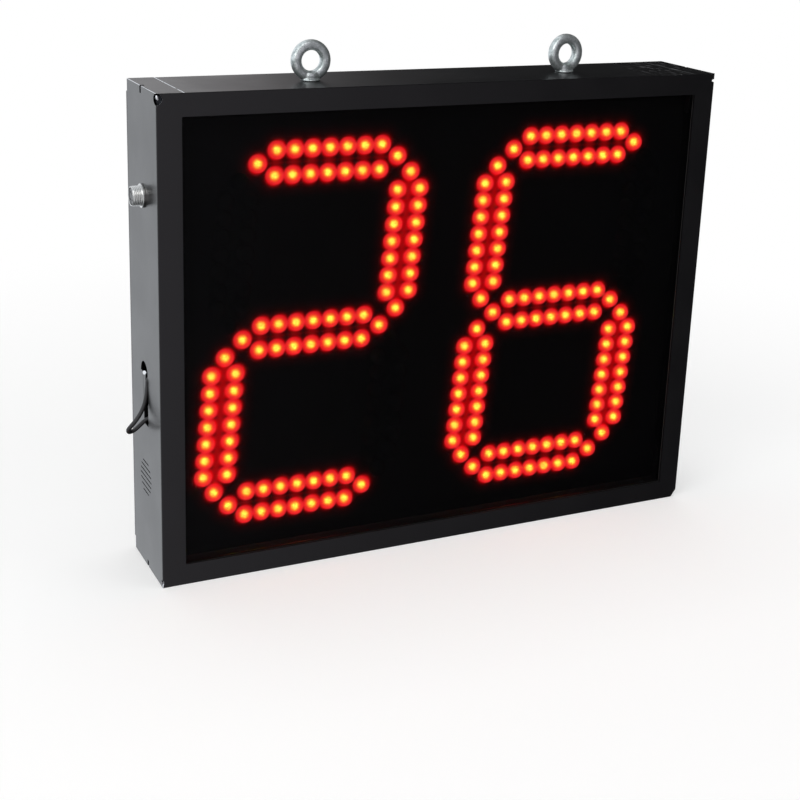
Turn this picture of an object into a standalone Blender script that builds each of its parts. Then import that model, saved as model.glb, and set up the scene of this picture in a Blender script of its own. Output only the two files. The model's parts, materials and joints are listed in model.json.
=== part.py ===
"""Two digit LED lap counter that hangs from two eyebolts or stands on its flat bottom.

Metres, +Z up. The front faces -Y and X runs to the right of someone who reads the digits.
The origin is the centre of the case's bottom face.
"""

import math

import bmesh
import bpy
from mathutils import Matrix, Vector

# Case sheet metal
CASE_WIDTH = 0.375
CASE_HEIGHT = 0.300
CASE_DEPTH = 0.060
SHEET = 0.0012
GAP = 0.0003  # left between pieces that touch
BEZEL_SIDE = 0.0147
BEZEL_END = 0.0134
LIP = 0.0163  # top and bottom lips of the end panels
REAR_FLANGE = 0.020
CORNER_RELIEF_RADIUS = 0.0035
NOTCH_WIDTH = 0.0046
NOTCH_HEIGHT = 0.0035
NOTCH_FRONT_Y = 0.0
CUT_PAST = 0.010  # how far a cutter runs past what it cuts

# Rear cover and its screws
COVER_SIDE_INSET = 0.0002
COVER_END_INSET = 0.0075  # at the top and bottom
COVER_THICKNESS = 0.0025
COVER_SCREW_INSET_ACROSS = 0.0128  # from the cover's side edge to a screw's axis
COVER_SCREW_INSET_UP = 0.0051  # from the cover's top or bottom edge
SCREW_RADIUS = 0.0017
SCREW_CLEARANCE = 0.0004
SCREW_HEAD_RADIUS = 0.0039
SCREW_HEAD_HEIGHT = 0.0024
SCREW_LENGTH = 0.008

# Front stack, from the bezel backwards
GASKET_THICKNESS = 0.0008
GASKET_LAP = 0.004  # how far the window reaches past the bezel's opening
WINDOW_THICKNESS = 0.003
RAIL_DEPTH = 0.0084
RAIL_HEIGHT = 0.0105
RAIL_END_GAP = 0.0103  # between a rail's end and the end panel
PANEL_THICKNESS = 0.0013
PANEL_MARGIN = 0.004  # from the case's top and bottom to the panel's edges
STUD_RADIUS = 0.003
PANEL_STUD_LENGTH = 0.003
BOARD_THICKNESS = 0.0016
STRIP_THICKNESS = 0.0015
PANEL_SCREW_INSET = 0.008  # from a rail's end to the screw's axis
PANEL_SCREW_RADIUS = 0.0015
PANEL_SCREW_HEAD_RADIUS = 0.0028
PANEL_SCREW_HEAD_HEIGHT = 0.0018
PANEL_SCREW_LENGTH = 0.005
HEAD_FLAT_SHARE = 0.6  # of a pan head's radius that is flat on top
HEAD_EDGE_SHARE = 0.5  # of a pan head's height that is upright at its edge

# Digits
DIGIT_HEIGHT = 0.2286  # between the centres of the top and bottom rows
DIGIT_SIDE_MARGIN = 0.03945  # from the outside of the case to a digit's outer column, at mid height
DIGIT_GAP = 0.0455  # between the outer columns of the two digits
DIGIT_SLANT = 0.085  # sideways shift for each metre of height
DISPLAY_SHIFT_X = -0.0022
DISPLAY_SHIFT_Z = -0.0018
ROW_SPACING = 0.0152  # between the two lines of a segment
CORNER_SPACING = 0.0101  # from a segment's end LED to the middle line of the segment it meets
LED_PITCH = 0.011  # along a segment, before the LEDs are spread evenly between its ends
LED_RADIUS = 0.0045
LED_HEIGHT = 0.0077
LED_DOME = 0.0034  # height of an LED's rounded end
LED_SIDES = 6
WINDOW_MARGIN = 0.0005  # between an LED and its window in the display panel
STRIP_MARGIN = 0.0007  # strip beyond its LEDs
BOARD_SPLIT = 0.0111  # between the two digit boards
BOARD_MARGIN_UP = 0.0065
BOARD_STUD_INSET = 0.006
LIT_SEGMENTS = {"left": "abged", "right": "afgcde"}

# Eyebolts, the bar that they hang the case from and their nuts
EYE_X = 0.0875  # from the middle of the two
EYE_MIDDLE_X = 0.0021
EYE_Y = -0.002
EYE_RING_RADIUS = 0.0093  # to the middle of the ring's section
EYE_SECTION_RADIUS = 0.003
EYE_COLLAR_RADIUS = 0.00625
EYE_COLLAR_TOP_RADIUS = 0.0046
EYE_COLLAR_HEIGHT = 0.0062
EYE_COLLAR_EDGE = 0.0021  # upright part of the collar, below its cone
EYE_SHANK_RADIUS = 0.003
EYE_HOLE_CLEARANCE = 0.0003
EYE_TURN_DEGREES = {"left": 0.0, "right": 5.0}
BAR_PAST_EYE = 0.0225
BAR_HALF_DEPTH = 0.010
BAR_THICKNESS = 0.003
NUT_ACROSS_FLATS = 0.010
NUT_HEIGHT = 0.005
SHANK_PAST_NUT = 0.0015

# Corner cleats
CLEAT_REACH = 0.036
CLEAT_DROP = 0.028
CLEAT_DEPTH = 0.030
CLEAT_BEHIND = 0.008  # from a cleat to the rear edge of the case

# Supply socket on the left end panel
SOCKET_DROP = 0.0633  # below the top of the case
SOCKET_Y = 0.0
SOCKET_THREAD_RADIUS = 0.006
SOCKET_HOLE_CLEARANCE = 0.0003
SOCKET_PROTRUSION = 0.0085
SOCKET_WALL = 0.001
SOCKET_FLANGE_LIP = 0.0015
SOCKET_FLANGE_THICKNESS = 0.0018
SOCKET_TAIL = 0.0085  # from the panel's inner face
SOCKET_WASHER_LIP = 0.0018
SOCKET_WASHER_THICKNESS = 0.0008
SOCKET_NUT_LIP = 0.0011  # from the thread to a flat of the nut
SOCKET_NUT_HEIGHT = 0.003
INSERT_RECESS = 0.0012
INSERT_TAIL = 0.002
CONTACTS = 4
CONTACT_RADIUS = 0.0007
CONTACT_CIRCLE = 0.0028
CONTACT_DEPTH = 0.004

# Slot for the antenna lead, and the buzzer's grille
SLOT_BOTTOM_Z = 0.095
SLOT_FRONT_Y = -0.0043
SLOT_BAND_WIDTH = 0.009
SLOT_ARCH_RADIUS = 0.0072
SLOT_ARCH_Z = 0.1275
SLOT_ARCH_STEPS = 12
BUZZER_Y = 0.003
BUZZER_Z = 0.0596
GRILLE_RADIUS = 0.0119
GRILLE_SLOTS = 7
GRILLE_SLOT_HEIGHT = 0.0013
BUZZER_RADIUS = 0.015
BUZZER_HEIGHT = 0.010
BUZZER_RIM_HEIGHT = 0.003
BUZZER_STEP_HEIGHT = 0.001
BUZZER_CAN_RADIUS = 0.012
BUZZER_RING_THICKNESS = 0.0015
BUZZER_RING_WALL = 0.002

# Electronics on the rear cover
BOARD_STANDOFF = 0.0084  # from the cover's inner face to a board
CONTROL_WIDTH = 0.100
CONTROL_HEIGHT = 0.080
CONTROL_Z = 0.135
POWER_WIDTH = 0.060
POWER_HEIGHT = 0.044
POWER_FROM_END = 0.0695  # from the outside of the left end to the board's middle
POWER_BELOW_SOCKET = 0.0155
RADIO_WIDTH = 0.044
RADIO_HEIGHT = 0.034
RADIO_FROM_END = 0.0415
RADIO_ABOVE_SLOT = 0.023  # from the foot of the lead slot to the board's middle
STUD_INSET = 0.005
HEADER_HEIGHT = 0.007
HEADER_HALF_WIDTH = 0.003
HEADER_MARGIN = 0.002  # header beyond the ribbon's edges
HEADER_INSET = 0.012  # from the control board's edge to a header's middle
CHIP_HEIGHT = 0.002
SHIELD_HEIGHT = 0.003
COIL_HEIGHT = 0.006
CAPACITOR_HEIGHT = 0.009

# Leads
SUPPLY_LEAD_RADIUS = 0.0022
BUZZER_LEAD_RADIUS = 0.0012
ANTENNA_LEAD_RADIUS = 0.0013
ANTENNA_STRAIGHT = 0.0029
ANTENNA_END_IN = 0.0093  # from the end panel's inner face
LEAD_STRAIGHT = 0.008  # first stretch of the supply and buzzer leads
RIBBON_WIDTH = 0.020
RIBBON_THICKNESS = 0.0012
RIBBON_HEADER_HEIGHT = 0.005
RIBBON_STRAIGHT = 0.004
RIBBON_SHIFT = 0.022  # sideways from one header to the other
RIBBON_STEP = 0.003
ANCHOR_BEHIND = 0.0127  # from the slot's front edge back to the anchor of the antenna lead
ANCHOR_RISE = 0.005  # from the slot's bottom to the middle of the anchor
ANCHOR_WIDTH = 0.0125
ANCHOR_DEPTH = 0.008
ANCHOR_HEIGHT = 0.008

# Places that follow from the sizes above
HALF_WIDTH = CASE_WIDTH / 2
FRONT = -CASE_DEPTH / 2
REAR = CASE_DEPTH / 2
PANEL_INNER_X = HALF_WIDTH - SHEET
SEAM_X = HALF_WIDTH - LIP
RAIL_HALF_LENGTH = PANEL_INNER_X - RAIL_END_GAP
PANEL_SCREW_X = RAIL_HALF_LENGTH - PANEL_SCREW_INSET
CLEAT_REAR = REAR - CLEAT_BEHIND
CLEAT_FRONT = CLEAT_REAR - CLEAT_DEPTH
GASKET_FRONT = FRONT + SHEET + GAP
GASKET_REAR = GASKET_FRONT + GASKET_THICKNESS
WINDOW_FRONT = GASKET_REAR + GAP
WINDOW_REAR = WINDOW_FRONT + WINDOW_THICKNESS
RAIL_FRONT = WINDOW_REAR + GAP
RAIL_REAR = RAIL_FRONT + RAIL_DEPTH
PANEL_FRONT = RAIL_REAR + GAP
PANEL_REAR = PANEL_FRONT + PANEL_THICKNESS
BOARD_FRONT = PANEL_REAR + PANEL_STUD_LENGTH + GAP
BOARD_REAR = BOARD_FRONT + BOARD_THICKNESS
STRIP_REAR = BOARD_FRONT - GAP
STRIP_FRONT = STRIP_REAR - STRIP_THICKNESS
COVER_FRONT = REAR + GAP
COVER_REAR = COVER_FRONT + COVER_THICKNESS
REAR_BOARD_BACK = COVER_FRONT - BOARD_STANDOFF
REAR_BOARD_FRONT = REAR_BOARD_BACK - BOARD_THICKNESS
ROOF_INNER_Z = CASE_HEIGHT - SHEET
BAR_TOP_Z = ROOF_INNER_Z - GAP
BAR_BOTTOM_Z = BAR_TOP_Z - BAR_THICKNESS
BAR_HALF_LENGTH = EYE_X + BAR_PAST_EYE
NUT_TOP_Z = BAR_BOTTOM_Z - GAP
NUT_BOTTOM_Z = NUT_TOP_Z - NUT_HEIGHT
EYE_BASE_Z = CASE_HEIGHT + GAP
EYE_CENTRE_Z = EYE_BASE_Z + EYE_RING_RADIUS + EYE_SECTION_RADIUS
DIGIT_WIDTH = (CASE_WIDTH - DIGIT_GAP) / 2 - DIGIT_SIDE_MARGIN
DIGIT_SPACING = DIGIT_WIDTH + DIGIT_GAP
DISPLAY_CENTRE_Z = CASE_HEIGHT / 2 + DISPLAY_SHIFT_Z
COLUMN_X = (DIGIT_WIDTH - ROW_SPACING) / 2
ROW_Z = (DIGIT_HEIGHT - ROW_SPACING) / 2
SEGMENT_HALF_LENGTH = {"across": COLUMN_X - CORNER_SPACING, "up": ROW_Z / 2 - CORNER_SPACING}
SOCKET_Z = CASE_HEIGHT - SOCKET_DROP
SOCKET_BORE_RADIUS = SOCKET_THREAD_RADIUS - SOCKET_WALL
SOCKET_HOLE_RADIUS = SOCKET_THREAD_RADIUS + SOCKET_HOLE_CLEARANCE
SOCKET_FLANGE_RADIUS = SOCKET_THREAD_RADIUS + SOCKET_FLANGE_LIP
SOCKET_WASHER_RADIUS = SOCKET_THREAD_RADIUS + SOCKET_WASHER_LIP
SOCKET_NUT_CORNER_RADIUS = (SOCKET_THREAD_RADIUS + SOCKET_NUT_LIP) * 2 / math.sqrt(3)
GRILLE_PITCH = 2 * GRILLE_RADIUS / GRILLE_SLOTS
SLOT_BAND_REAR_Y = SLOT_FRONT_Y + SLOT_BAND_WIDTH
SLOT_ARCH_Y = SLOT_FRONT_Y + SLOT_ARCH_RADIUS
ANCHOR_Y = SLOT_FRONT_Y + ANCHOR_BEHIND
ANCHOR_Z = SLOT_BOTTOM_Z + ANCHOR_RISE
INSERT_REAR_X = -PANEL_INNER_X + SOCKET_TAIL + INSERT_TAIL

# Middle of each segment and whether it lies across or up the digit
SEGMENTS = {
    "a": (0.0, ROW_Z, "across"),
    "b": (COLUMN_X, ROW_Z / 2, "up"),
    "c": (COLUMN_X, -ROW_Z / 2, "up"),
    "d": (0.0, -ROW_Z, "across"),
    "e": (-COLUMN_X, -ROW_Z / 2, "up"),
    "f": (-COLUMN_X, ROW_Z / 2, "up"),
    "g": (0.0, 0.0, "across"),
}
DIGIT_X = {
    "left": DISPLAY_SHIFT_X - DIGIT_SPACING / 2,
    "right": DISPLAY_SHIFT_X + DIGIT_SPACING / 2,
}

# Each rear board's middle x, middle z, width and height
BOARDS = {
    "control_board": (0.0, CONTROL_Z, CONTROL_WIDTH, CONTROL_HEIGHT),
    "power_module": (POWER_FROM_END - HALF_WIDTH, SOCKET_Z - POWER_BELOW_SOCKET, POWER_WIDTH, POWER_HEIGHT),
    "radio_receiver": (
        RADIO_FROM_END - HALF_WIDTH, SLOT_BOTTOM_Z + RADIO_ABOVE_SLOT, RADIO_WIDTH, RADIO_HEIGHT
    ),
}
HEADER_X = CONTROL_WIDTH / 2 - HEADER_INSET
RIBBON_HEADER = (2 * HEADER_HALF_WIDTH, RIBBON_WIDTH + 2 * HEADER_MARGIN, HEADER_HEIGHT)

# Parts on each rear board: x and z from the board's middle, width, height and how proud
COMPONENTS = {
    "control_board": [
        (0.0, 0.006, 0.014, 0.014, CHIP_HEIGHT),
        (-0.030, -0.033, 0.010, 0.006, HEADER_HEIGHT),
        (-0.018, -0.018, 0.010, 0.006, CHIP_HEIGHT),
        (0.018, -0.018, 0.010, 0.006, CHIP_HEIGHT),
        (0.0, 0.029, 0.022, 0.008, HEADER_HEIGHT),
        (-HEADER_X, 0.0, *RIBBON_HEADER),
        (HEADER_X, 0.0, *RIBBON_HEADER),
    ],
    "power_module": [
        (0.004, 0.000, 0.014, 0.014, COIL_HEIGHT),
        (-0.020, 0.004, 0.012, 0.016, HEADER_HEIGHT),
        (0.019, 0.010, 0.010, 0.010, CAPACITOR_HEIGHT),
        (0.019, -0.006, 0.008, 0.008, CAPACITOR_HEIGHT),
    ],
    "radio_receiver": [
        (0.004, 0.003, 0.016, 0.012, SHIELD_HEIGHT),
        (-0.017, 0.002, 0.008, 0.009, HEADER_HEIGHT),
        (0.014, -0.009, 0.008, 0.005, CHIP_HEIGHT),
    ],
}
LEAD_HEADER = 1  # the place in each list of the header that a lead plugs into

PARTS = None
CUTTERS = None


def start_scene():
    global PARTS, CUTTERS
    for obj in list(bpy.data.objects):
        bpy.data.objects.remove(obj)
    PARTS = bpy.data.collections.new("led_lap_counter")
    CUTTERS = bpy.data.collections.new("cutters")
    bpy.context.scene.collection.children.link(PARTS)
    bpy.context.scene.collection.children.link(CUTTERS)


def principled(name, colour, roughness, metallic=0.0, alpha=1.0, glow=0.0):
    material = bpy.data.materials.new(name)
    material.use_nodes = True
    shader = material.node_tree.nodes["Principled BSDF"]
    shader.inputs["Base Color"].default_value = (*colour, 1.0)
    shader.inputs["Roughness"].default_value = roughness
    shader.inputs["Metallic"].default_value = metallic
    shader.inputs["Alpha"].default_value = alpha
    if glow:
        shader.inputs["Emission Color"].default_value = (*colour, 1.0)
        shader.inputs["Emission Strength"].default_value = glow
    material.diffuse_color = (*colour, alpha)
    return material


def make_materials():
    return {
        "black_paint": principled("black_paint", (0.035, 0.036, 0.039), 0.38),
        "smoked_acrylic": principled("smoked_acrylic", (0.02, 0.02, 0.022), 0.08, alpha=0.5),
        "black_foam": principled("black_foam", (0.02, 0.02, 0.02), 0.9),
        "black_plastic": principled("black_plastic", (0.012, 0.012, 0.013), 0.6),
        "zinc_steel": principled("zinc_steel", (0.62, 0.63, 0.63), 0.28, 1.0),
        "plain_steel": principled("plain_steel", (0.45, 0.45, 0.46), 0.4, 1.0),
        "chrome": principled("chrome", (0.75, 0.75, 0.74), 0.15, 1.0),
        "led_lit": principled("led_lit", (1.0, 0.08, 0.03), 0.3, glow=3.0),
        "led_dark": principled("led_dark", (0.10, 0.012, 0.010), 0.25),
        "circuit_board": principled("circuit_board", (0.02, 0.10, 0.045), 0.45),
        "lead_black": principled("lead_black", (0.02, 0.02, 0.022), 0.5),
        "ribbon_grey": principled("ribbon_grey", (0.35, 0.35, 0.36), 0.5),
    }


def add_object(name, mesh, material=None):
    """Puts a mesh in the scene, as a part where it has a material and as a cutter where it has none."""
    obj = bpy.data.objects.new(name, mesh)
    if material is None:
        CUTTERS.objects.link(obj)
        obj.hide_render = True
        obj.display_type = "WIRE"
    else:
        PARTS.objects.link(obj)
        if not mesh.materials:
            mesh.materials.append(None)
        obj.material_slots[0].link = "OBJECT"
        obj.material_slots[0].material = material
    return obj


def mesh_from(bm, name):
    bmesh.ops.recalc_face_normals(bm, faces=bm.faces[:])
    mesh = bpy.data.meshes.new(name)
    bm.to_mesh(mesh)
    bm.free()
    return mesh


def add_block(bm, low, high):
    size = Vector(high) - Vector(low)
    middle = (Vector(high) + Vector(low)) / 2
    bmesh.ops.create_cube(bm, size=1.0, matrix=Matrix.Translation(middle) @ Matrix.Diagonal((*size, 1.0)))


def blocks(name, boxes, material=None):
    """One object of one or more boxes, each given by its lowest and highest corners."""
    bm = bmesh.new()
    for low, high in boxes:
        add_block(bm, low, high)
    return add_object(name, mesh_from(bm, name), material)


AXIS_TURN = {
    "X": Matrix.Rotation(math.pi / 2, 4, "Y"),
    "Y": Matrix.Rotation(-math.pi / 2, 4, "X"),
    "Z": Matrix.Identity(4),
}


def add_rod(bm, start, axis, length, radius, sides=16):
    """A cylinder that runs from start along the named axis."""
    step = AXIS_TURN[axis] @ Vector((0.0, 0.0, length / 2))
    matrix = Matrix.Translation(Vector(start) + step) @ AXIS_TURN[axis]
    bmesh.ops.create_cone(
        bm,
        cap_ends=True,
        segments=sides,
        radius1=radius,
        radius2=radius,
        depth=length,
        matrix=matrix,
    )


def rods(name, starts, axis, length, radius, material=None, sides=16):
    bm = bmesh.new()
    for start in starts:
        add_rod(bm, start, axis, length, radius, sides)
    return add_object(name, mesh_from(bm, name), material)


def baked(obj):
    """The evaluated mesh of an object, which is then removed."""
    graph = bpy.context.evaluated_depsgraph_get()
    graph.update()
    mesh = bpy.data.meshes.new_from_object(obj.evaluated_get(graph))
    mesh.transform(obj.matrix_world)
    bpy.data.objects.remove(obj)
    bm = bmesh.new()
    bm.from_mesh(mesh)
    bmesh.ops.remove_doubles(bm, verts=bm.verts[:], dist=1e-6)
    bm.to_mesh(mesh)
    bm.free()
    return mesh


def outline_mesh(name, points, thickness):
    """A flat outline in X and Y, thickened evenly to both sides of Z = 0."""
    curve = bpy.data.curves.new(name, "CURVE")
    curve.dimensions = "2D"
    curve.fill_mode = "BOTH"
    curve.extrude = thickness / 2
    spline = curve.splines.new("POLY")
    spline.points.add(len(points) - 1)
    for point, (x, y) in zip(spline.points, points):
        point.co = (x, y, 0.0, 1.0)
    spline.use_cyclic_u = True
    obj = bpy.data.objects.new(name, curve)
    CUTTERS.objects.link(obj)
    return baked(obj)


def turned(name, profile, material=None, sides=24, closed=False):
    """A profile of radius and height turned about Z. It runs down its outer side."""
    bm = bmesh.new()
    verts = [bm.verts.new((radius, 0.0, height)) for radius, height in profile]
    pairs = list(zip(verts, verts[1:]))
    if closed:
        pairs.append((verts[-1], verts[0]))
    for first, second in pairs:
        bm.edges.new((first, second))
    mesh = bpy.data.meshes.new(name)
    bm.to_mesh(mesh)
    bm.free()
    obj = add_object(name, mesh, material)
    screw = obj.modifiers.new("turn", "SCREW")
    screw.axis = "Z"
    screw.angle = math.tau
    screw.steps = sides
    screw.render_steps = sides
    screw.use_merge_vertices = True
    screw.merge_threshold = 1e-6
    return obj


def ring_profile(inner, outer, bottom, top):
    return [(inner, top), (outer, top), (outer, bottom), (inner, bottom)]


def boolean(obj, other, operation):
    modifier = obj.modifiers.new(other.name, "BOOLEAN")
    modifier.operation = operation
    modifier.solver = "EXACT"
    modifier.object = other
    return obj


def cut(obj, *others):
    for other in others:
        boolean(obj, other, "DIFFERENCE")
    return obj


def fuse(obj, *others):
    for other in others:
        boolean(obj, other, "UNION")
    return obj


def smooth_route(points, spacing):
    """Points a given distance apart along a smooth curve. The first and last stretches stay straight."""
    knots = [Vector(p) for p in points]
    fine = []
    for a, b, c, d in zip(knots, knots[1:], knots[2:], knots[3:]):
        for step in range(24):
            t = step / 24
            fine.append(
                0.5 * ((2 * b) + (c - a) * t + (2 * a - 5 * b + 4 * c - d) * t**2
                       + (3 * b - a - 3 * c + d) * t**3)
            )
    fine.append(knots[-2])
    lengths = [0.0]
    for p, q in zip(fine, fine[1:]):
        lengths.append(lengths[-1] + (q - p).length)
    count = max(2, round(lengths[-1] / spacing))
    route = [knots[0]]
    place = 0
    for i in range(count + 1):
        wanted = lengths[-1] * i / count
        while place < len(lengths) - 2 and lengths[place + 1] < wanted:
            place += 1
        share = (wanted - lengths[place]) / (lengths[place + 1] - lengths[place])
        route.append(fine[place].lerp(fine[place + 1], min(1.0, share)))
    route.append(knots[-1])
    return route


def tube(name, points, radius, material):
    curve = bpy.data.curves.new(name, "CURVE")
    curve.dimensions = "3D"
    curve.bevel_depth = radius
    curve.bevel_resolution = 2
    curve.use_fill_caps = True
    route = smooth_route(points, 5 * radius)
    spline = curve.splines.new("POLY")
    spline.points.add(len(route) - 1)
    for point, place in zip(spline.points, route):
        point.co = (*place, 1.0)
    obj = bpy.data.objects.new(name, curve)
    PARTS.objects.link(obj)
    curve.materials.append(material)
    return obj


def both_ends(z):
    """A height and the same height measured down from the top of the case."""
    return (z, CASE_HEIGHT - z)


def spans(*values):
    """The values of each pair in rising order, which lets a sign mirror a box."""
    return tuple(sorted(values))


def corner_reliefs():
    """Round reliefs where the front bends meet, cut through the front sheet and through each end panel."""
    heights = both_ends(CORNER_RELIEF_RADIUS)
    reliefs = {
        "front": rods(
            "corner_relief_front",
            [(sign * HALF_WIDTH, FRONT - CUT_PAST, z) for sign in (-1, 1) for z in heights],
            "Y",
            CUT_PAST + 2 * SHEET,
            CORNER_RELIEF_RADIUS,
        )
    }
    for side, sign in (("left", -1), ("right", 1)):
        reliefs[side] = rods(
            f"corner_relief_{side}",
            [(sign * HALF_WIDTH - CUT_PAST / 2, FRONT, z) for z in heights],
            "X",
            CUT_PAST,
            CORNER_RELIEF_RADIUS,
        )
    return reliefs


def front_frame(mats, reliefs, screw_holes):
    """Bezel, top and bottom walls and the rear flanges of both, folded from one sheet."""
    frame = blocks(
        "front_frame",
        [((-HALF_WIDTH, FRONT, 0), (HALF_WIDTH, REAR, CASE_HEIGHT))],
        mats["black_paint"],
    )
    past = HALF_WIDTH + CUT_PAST
    inside = blocks(
        "front_frame_inside", [((-past, FRONT + SHEET, SHEET), (past, REAR - SHEET, ROOF_INNER_Z))]
    )
    rear_opening = blocks(
        "rear_opening",
        [((-past, REAR - 2 * SHEET, REAR_FLANGE), (past, REAR + CUT_PAST, CASE_HEIGHT - REAR_FLANGE))],
    )
    ends = []
    for sign in (-1, 1):
        low_x, high_x = spans(sign * past, sign * (SEAM_X - GAP / 2))
        ends.append(((low_x, FRONT + SHEET, -CUT_PAST), (high_x, REAR + CUT_PAST, CASE_HEIGHT + CUT_PAST)))
    bezel_opening = blocks(
        "bezel_opening",
        [((BEZEL_SIDE - HALF_WIDTH, FRONT - CUT_PAST, BEZEL_END),
          (HALF_WIDTH - BEZEL_SIDE, FRONT + CUT_PAST, CASE_HEIGHT - BEZEL_END))],
    )
    eye_holes = rods(
        "eyebolt_holes",
        [(EYE_MIDDLE_X + sign * EYE_X, EYE_Y, NUT_BOTTOM_Z - CUT_PAST) for sign in (-1, 1)],
        "Z",
        CASE_HEIGHT - NUT_BOTTOM_Z + 2 * CUT_PAST,
        EYE_SHANK_RADIUS + EYE_HOLE_CLEARANCE,
    )
    cut(frame, inside, rear_opening, blocks("wall_ends", ends), bezel_opening)
    cut(frame, eye_holes, screw_holes, reliefs["front"])


def end_panel(mats, side, sign, reliefs, screw_holes):
    """Side wall with the lips and the rear flange folded from it."""
    low_x, high_x = spans(sign * HALF_WIDTH, sign * (SEAM_X + GAP / 2))
    panel = blocks(
        f"{side}_end_panel",
        [((low_x, FRONT + SHEET + GAP, 0), (high_x, REAR, CASE_HEIGHT))],
        mats["black_paint"],
    )
    low_x, high_x = spans(sign * PANEL_INNER_X, sign * (SEAM_X - CUT_PAST))
    hollow = blocks(
        f"{side}_end_panel_inside",
        [((low_x, FRONT - CUT_PAST, SHEET), (high_x, REAR - SHEET, ROOF_INNER_Z))],
    )
    low_x, high_x = spans(sign * (HALF_WIDTH + CUT_PAST), sign * (PANEL_INNER_X - SHEET))
    notches = blocks(
        f"{side}_edge_notches",
        [((low_x, NOTCH_FRONT_Y, low_z), (high_x, NOTCH_FRONT_Y + NOTCH_WIDTH, high_z))
         for low_z, high_z in (
             (-CUT_PAST, NOTCH_HEIGHT), (CASE_HEIGHT - NOTCH_HEIGHT, CASE_HEIGHT + CUT_PAST))],
    )
    cut(panel, hollow, notches, reliefs[side], screw_holes)
    if side == "left":
        cut(panel, socket_hole(), lead_slot(), buzzer_grille())


def rear_cover(mats, screw_holes):
    half = HALF_WIDTH - COVER_SIDE_INSET
    low, high = both_ends(COVER_END_INSET)
    cover = blocks(
        "rear_cover",
        [((-half, COVER_FRONT, low), (half, COVER_REAR, high))],
        mats["black_paint"],
    )
    cut(cover, screw_holes)
    fuse(cover, rods(
        "cover_studs",
        [(x, REAR_BOARD_BACK + GAP, z) for x, z in rear_stud_places()],
        "Y",
        BOARD_STANDOFF - GAP + COVER_THICKNESS / 2,
        STUD_RADIUS,
        sides=8,
    ))


def case(mats):
    reliefs = corner_reliefs()
    screw_holes = cover_screw_holes()
    front_frame(mats, reliefs, screw_holes)
    for side, sign in (("left", -1), ("right", 1)):
        end_panel(mats, side, sign, reliefs, screw_holes)
    rear_cover(mats, screw_holes)


def cover_screw_places():
    x = HALF_WIDTH - COVER_SIDE_INSET - COVER_SCREW_INSET_ACROSS
    return [(sx, z) for z in both_ends(COVER_END_INSET + COVER_SCREW_INSET_UP) for sx in (-x, 0.0, x)]


def cover_screw_holes():
    return rods(
        "cover_screw_holes",
        [(x, REAR - 3 * SHEET, z) for x, z in cover_screw_places()],
        "Y",
        COVER_REAR - REAR + 6 * SHEET,
        SCREW_RADIUS + SCREW_CLEARANCE,
        sides=10,
    )


def pan_head_screw(name, head_radius, head_height, shank_radius, length, material):
    """Its axis is Z, its head is up and the seat of the head is at Z = 0."""
    profile = [
        (0.0, head_height),
        (HEAD_FLAT_SHARE * head_radius, head_height),
        (head_radius, HEAD_EDGE_SHARE * head_height),
        (head_radius, 0.0),
        (shank_radius, 0.0),
        (shank_radius, -length),
        (0.0, -length),
    ]
    return turned(name, profile, material, sides=10)


def cover_screws(mats):
    for number, (x, z) in enumerate(cover_screw_places(), start=1):
        screw = pan_head_screw(
            f"cover_screw_{number}", SCREW_HEAD_RADIUS, SCREW_HEAD_HEIGHT, SCREW_RADIUS,
            SCREW_LENGTH, mats["zinc_steel"],
        )
        screw.location = (x, COVER_REAR + GAP, z)
        screw.rotation_euler = (-math.pi / 2, 0.0, 0.0)


def corner_cleats(mats):
    outer = PANEL_INNER_X - GAP
    for end, upper in (("top", True), ("bottom", False)):
        for side, sign in (("left", -1), ("right", 1)):
            boxes = []
            for x0, x1, z0, z1 in (
                (outer - CLEAT_REACH, outer, BAR_TOP_Z - SHEET, BAR_TOP_Z),
                (outer - SHEET, outer, BAR_TOP_Z - CLEAT_DROP, BAR_TOP_Z),
            ):
                if not upper:
                    z0, z1 = CASE_HEIGHT - z1, CASE_HEIGHT - z0
                x0, x1 = sorted((sign * x0, sign * x1))
                boxes.append(((x0, CLEAT_FRONT, z0), (x1, CLEAT_REAR, z1)))
            name = f"corner_cleat_{end}_{side}"
            cleat = blocks(name, boxes[:1], mats["plain_steel"])
            fuse(cleat, blocks(f"{name}_leg", boxes[1:]))


def front_window(mats):
    low_x = BEZEL_SIDE - HALF_WIDTH - GASKET_LAP
    low_z = BEZEL_END - GASKET_LAP
    gasket = blocks(
        "window_gasket",
        [((low_x, GASKET_FRONT, low_z), (-low_x, GASKET_REAR, CASE_HEIGHT - low_z))],
        mats["black_foam"],
    )
    lap = GASKET_LAP - GAP
    cut(gasket, blocks(
        "gasket_opening",
        [((low_x + lap, FRONT, low_z + lap), (-low_x - lap, RAIL_FRONT, CASE_HEIGHT - low_z - lap))],
    ))
    blocks(
        "front_window",
        [((low_x, WINDOW_FRONT, low_z), (-low_x, WINDOW_REAR, CASE_HEIGHT - low_z))],
        mats["smoked_acrylic"],
    )
    for end, upper in (("top", True), ("bottom", False)):
        top = BAR_TOP_Z
        z0, z1 = (top - RAIL_HEIGHT, top) if upper else (CASE_HEIGHT - top, CASE_HEIGHT - top + RAIL_HEIGHT)
        rail = blocks(
            f"window_rail_{end}",
            [((-RAIL_HALF_LENGTH, RAIL_FRONT, z0), (RAIL_HALF_LENGTH, RAIL_REAR, z1))],
            mats["plain_steel"],
        )
        if upper:
            z0, z1 = z0 - SHEET, z1 - SHEET
        else:
            z0, z1 = z0 + SHEET, z1 + SHEET
        hollow = blocks(
            f"window_rail_{end}_inside",
            [((-CASE_WIDTH, RAIL_FRONT + SHEET, z0), (CASE_WIDTH, RAIL_REAR - SHEET, z1))],
        )
        cut(rail, hollow, panel_screw_holes(end))


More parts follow.
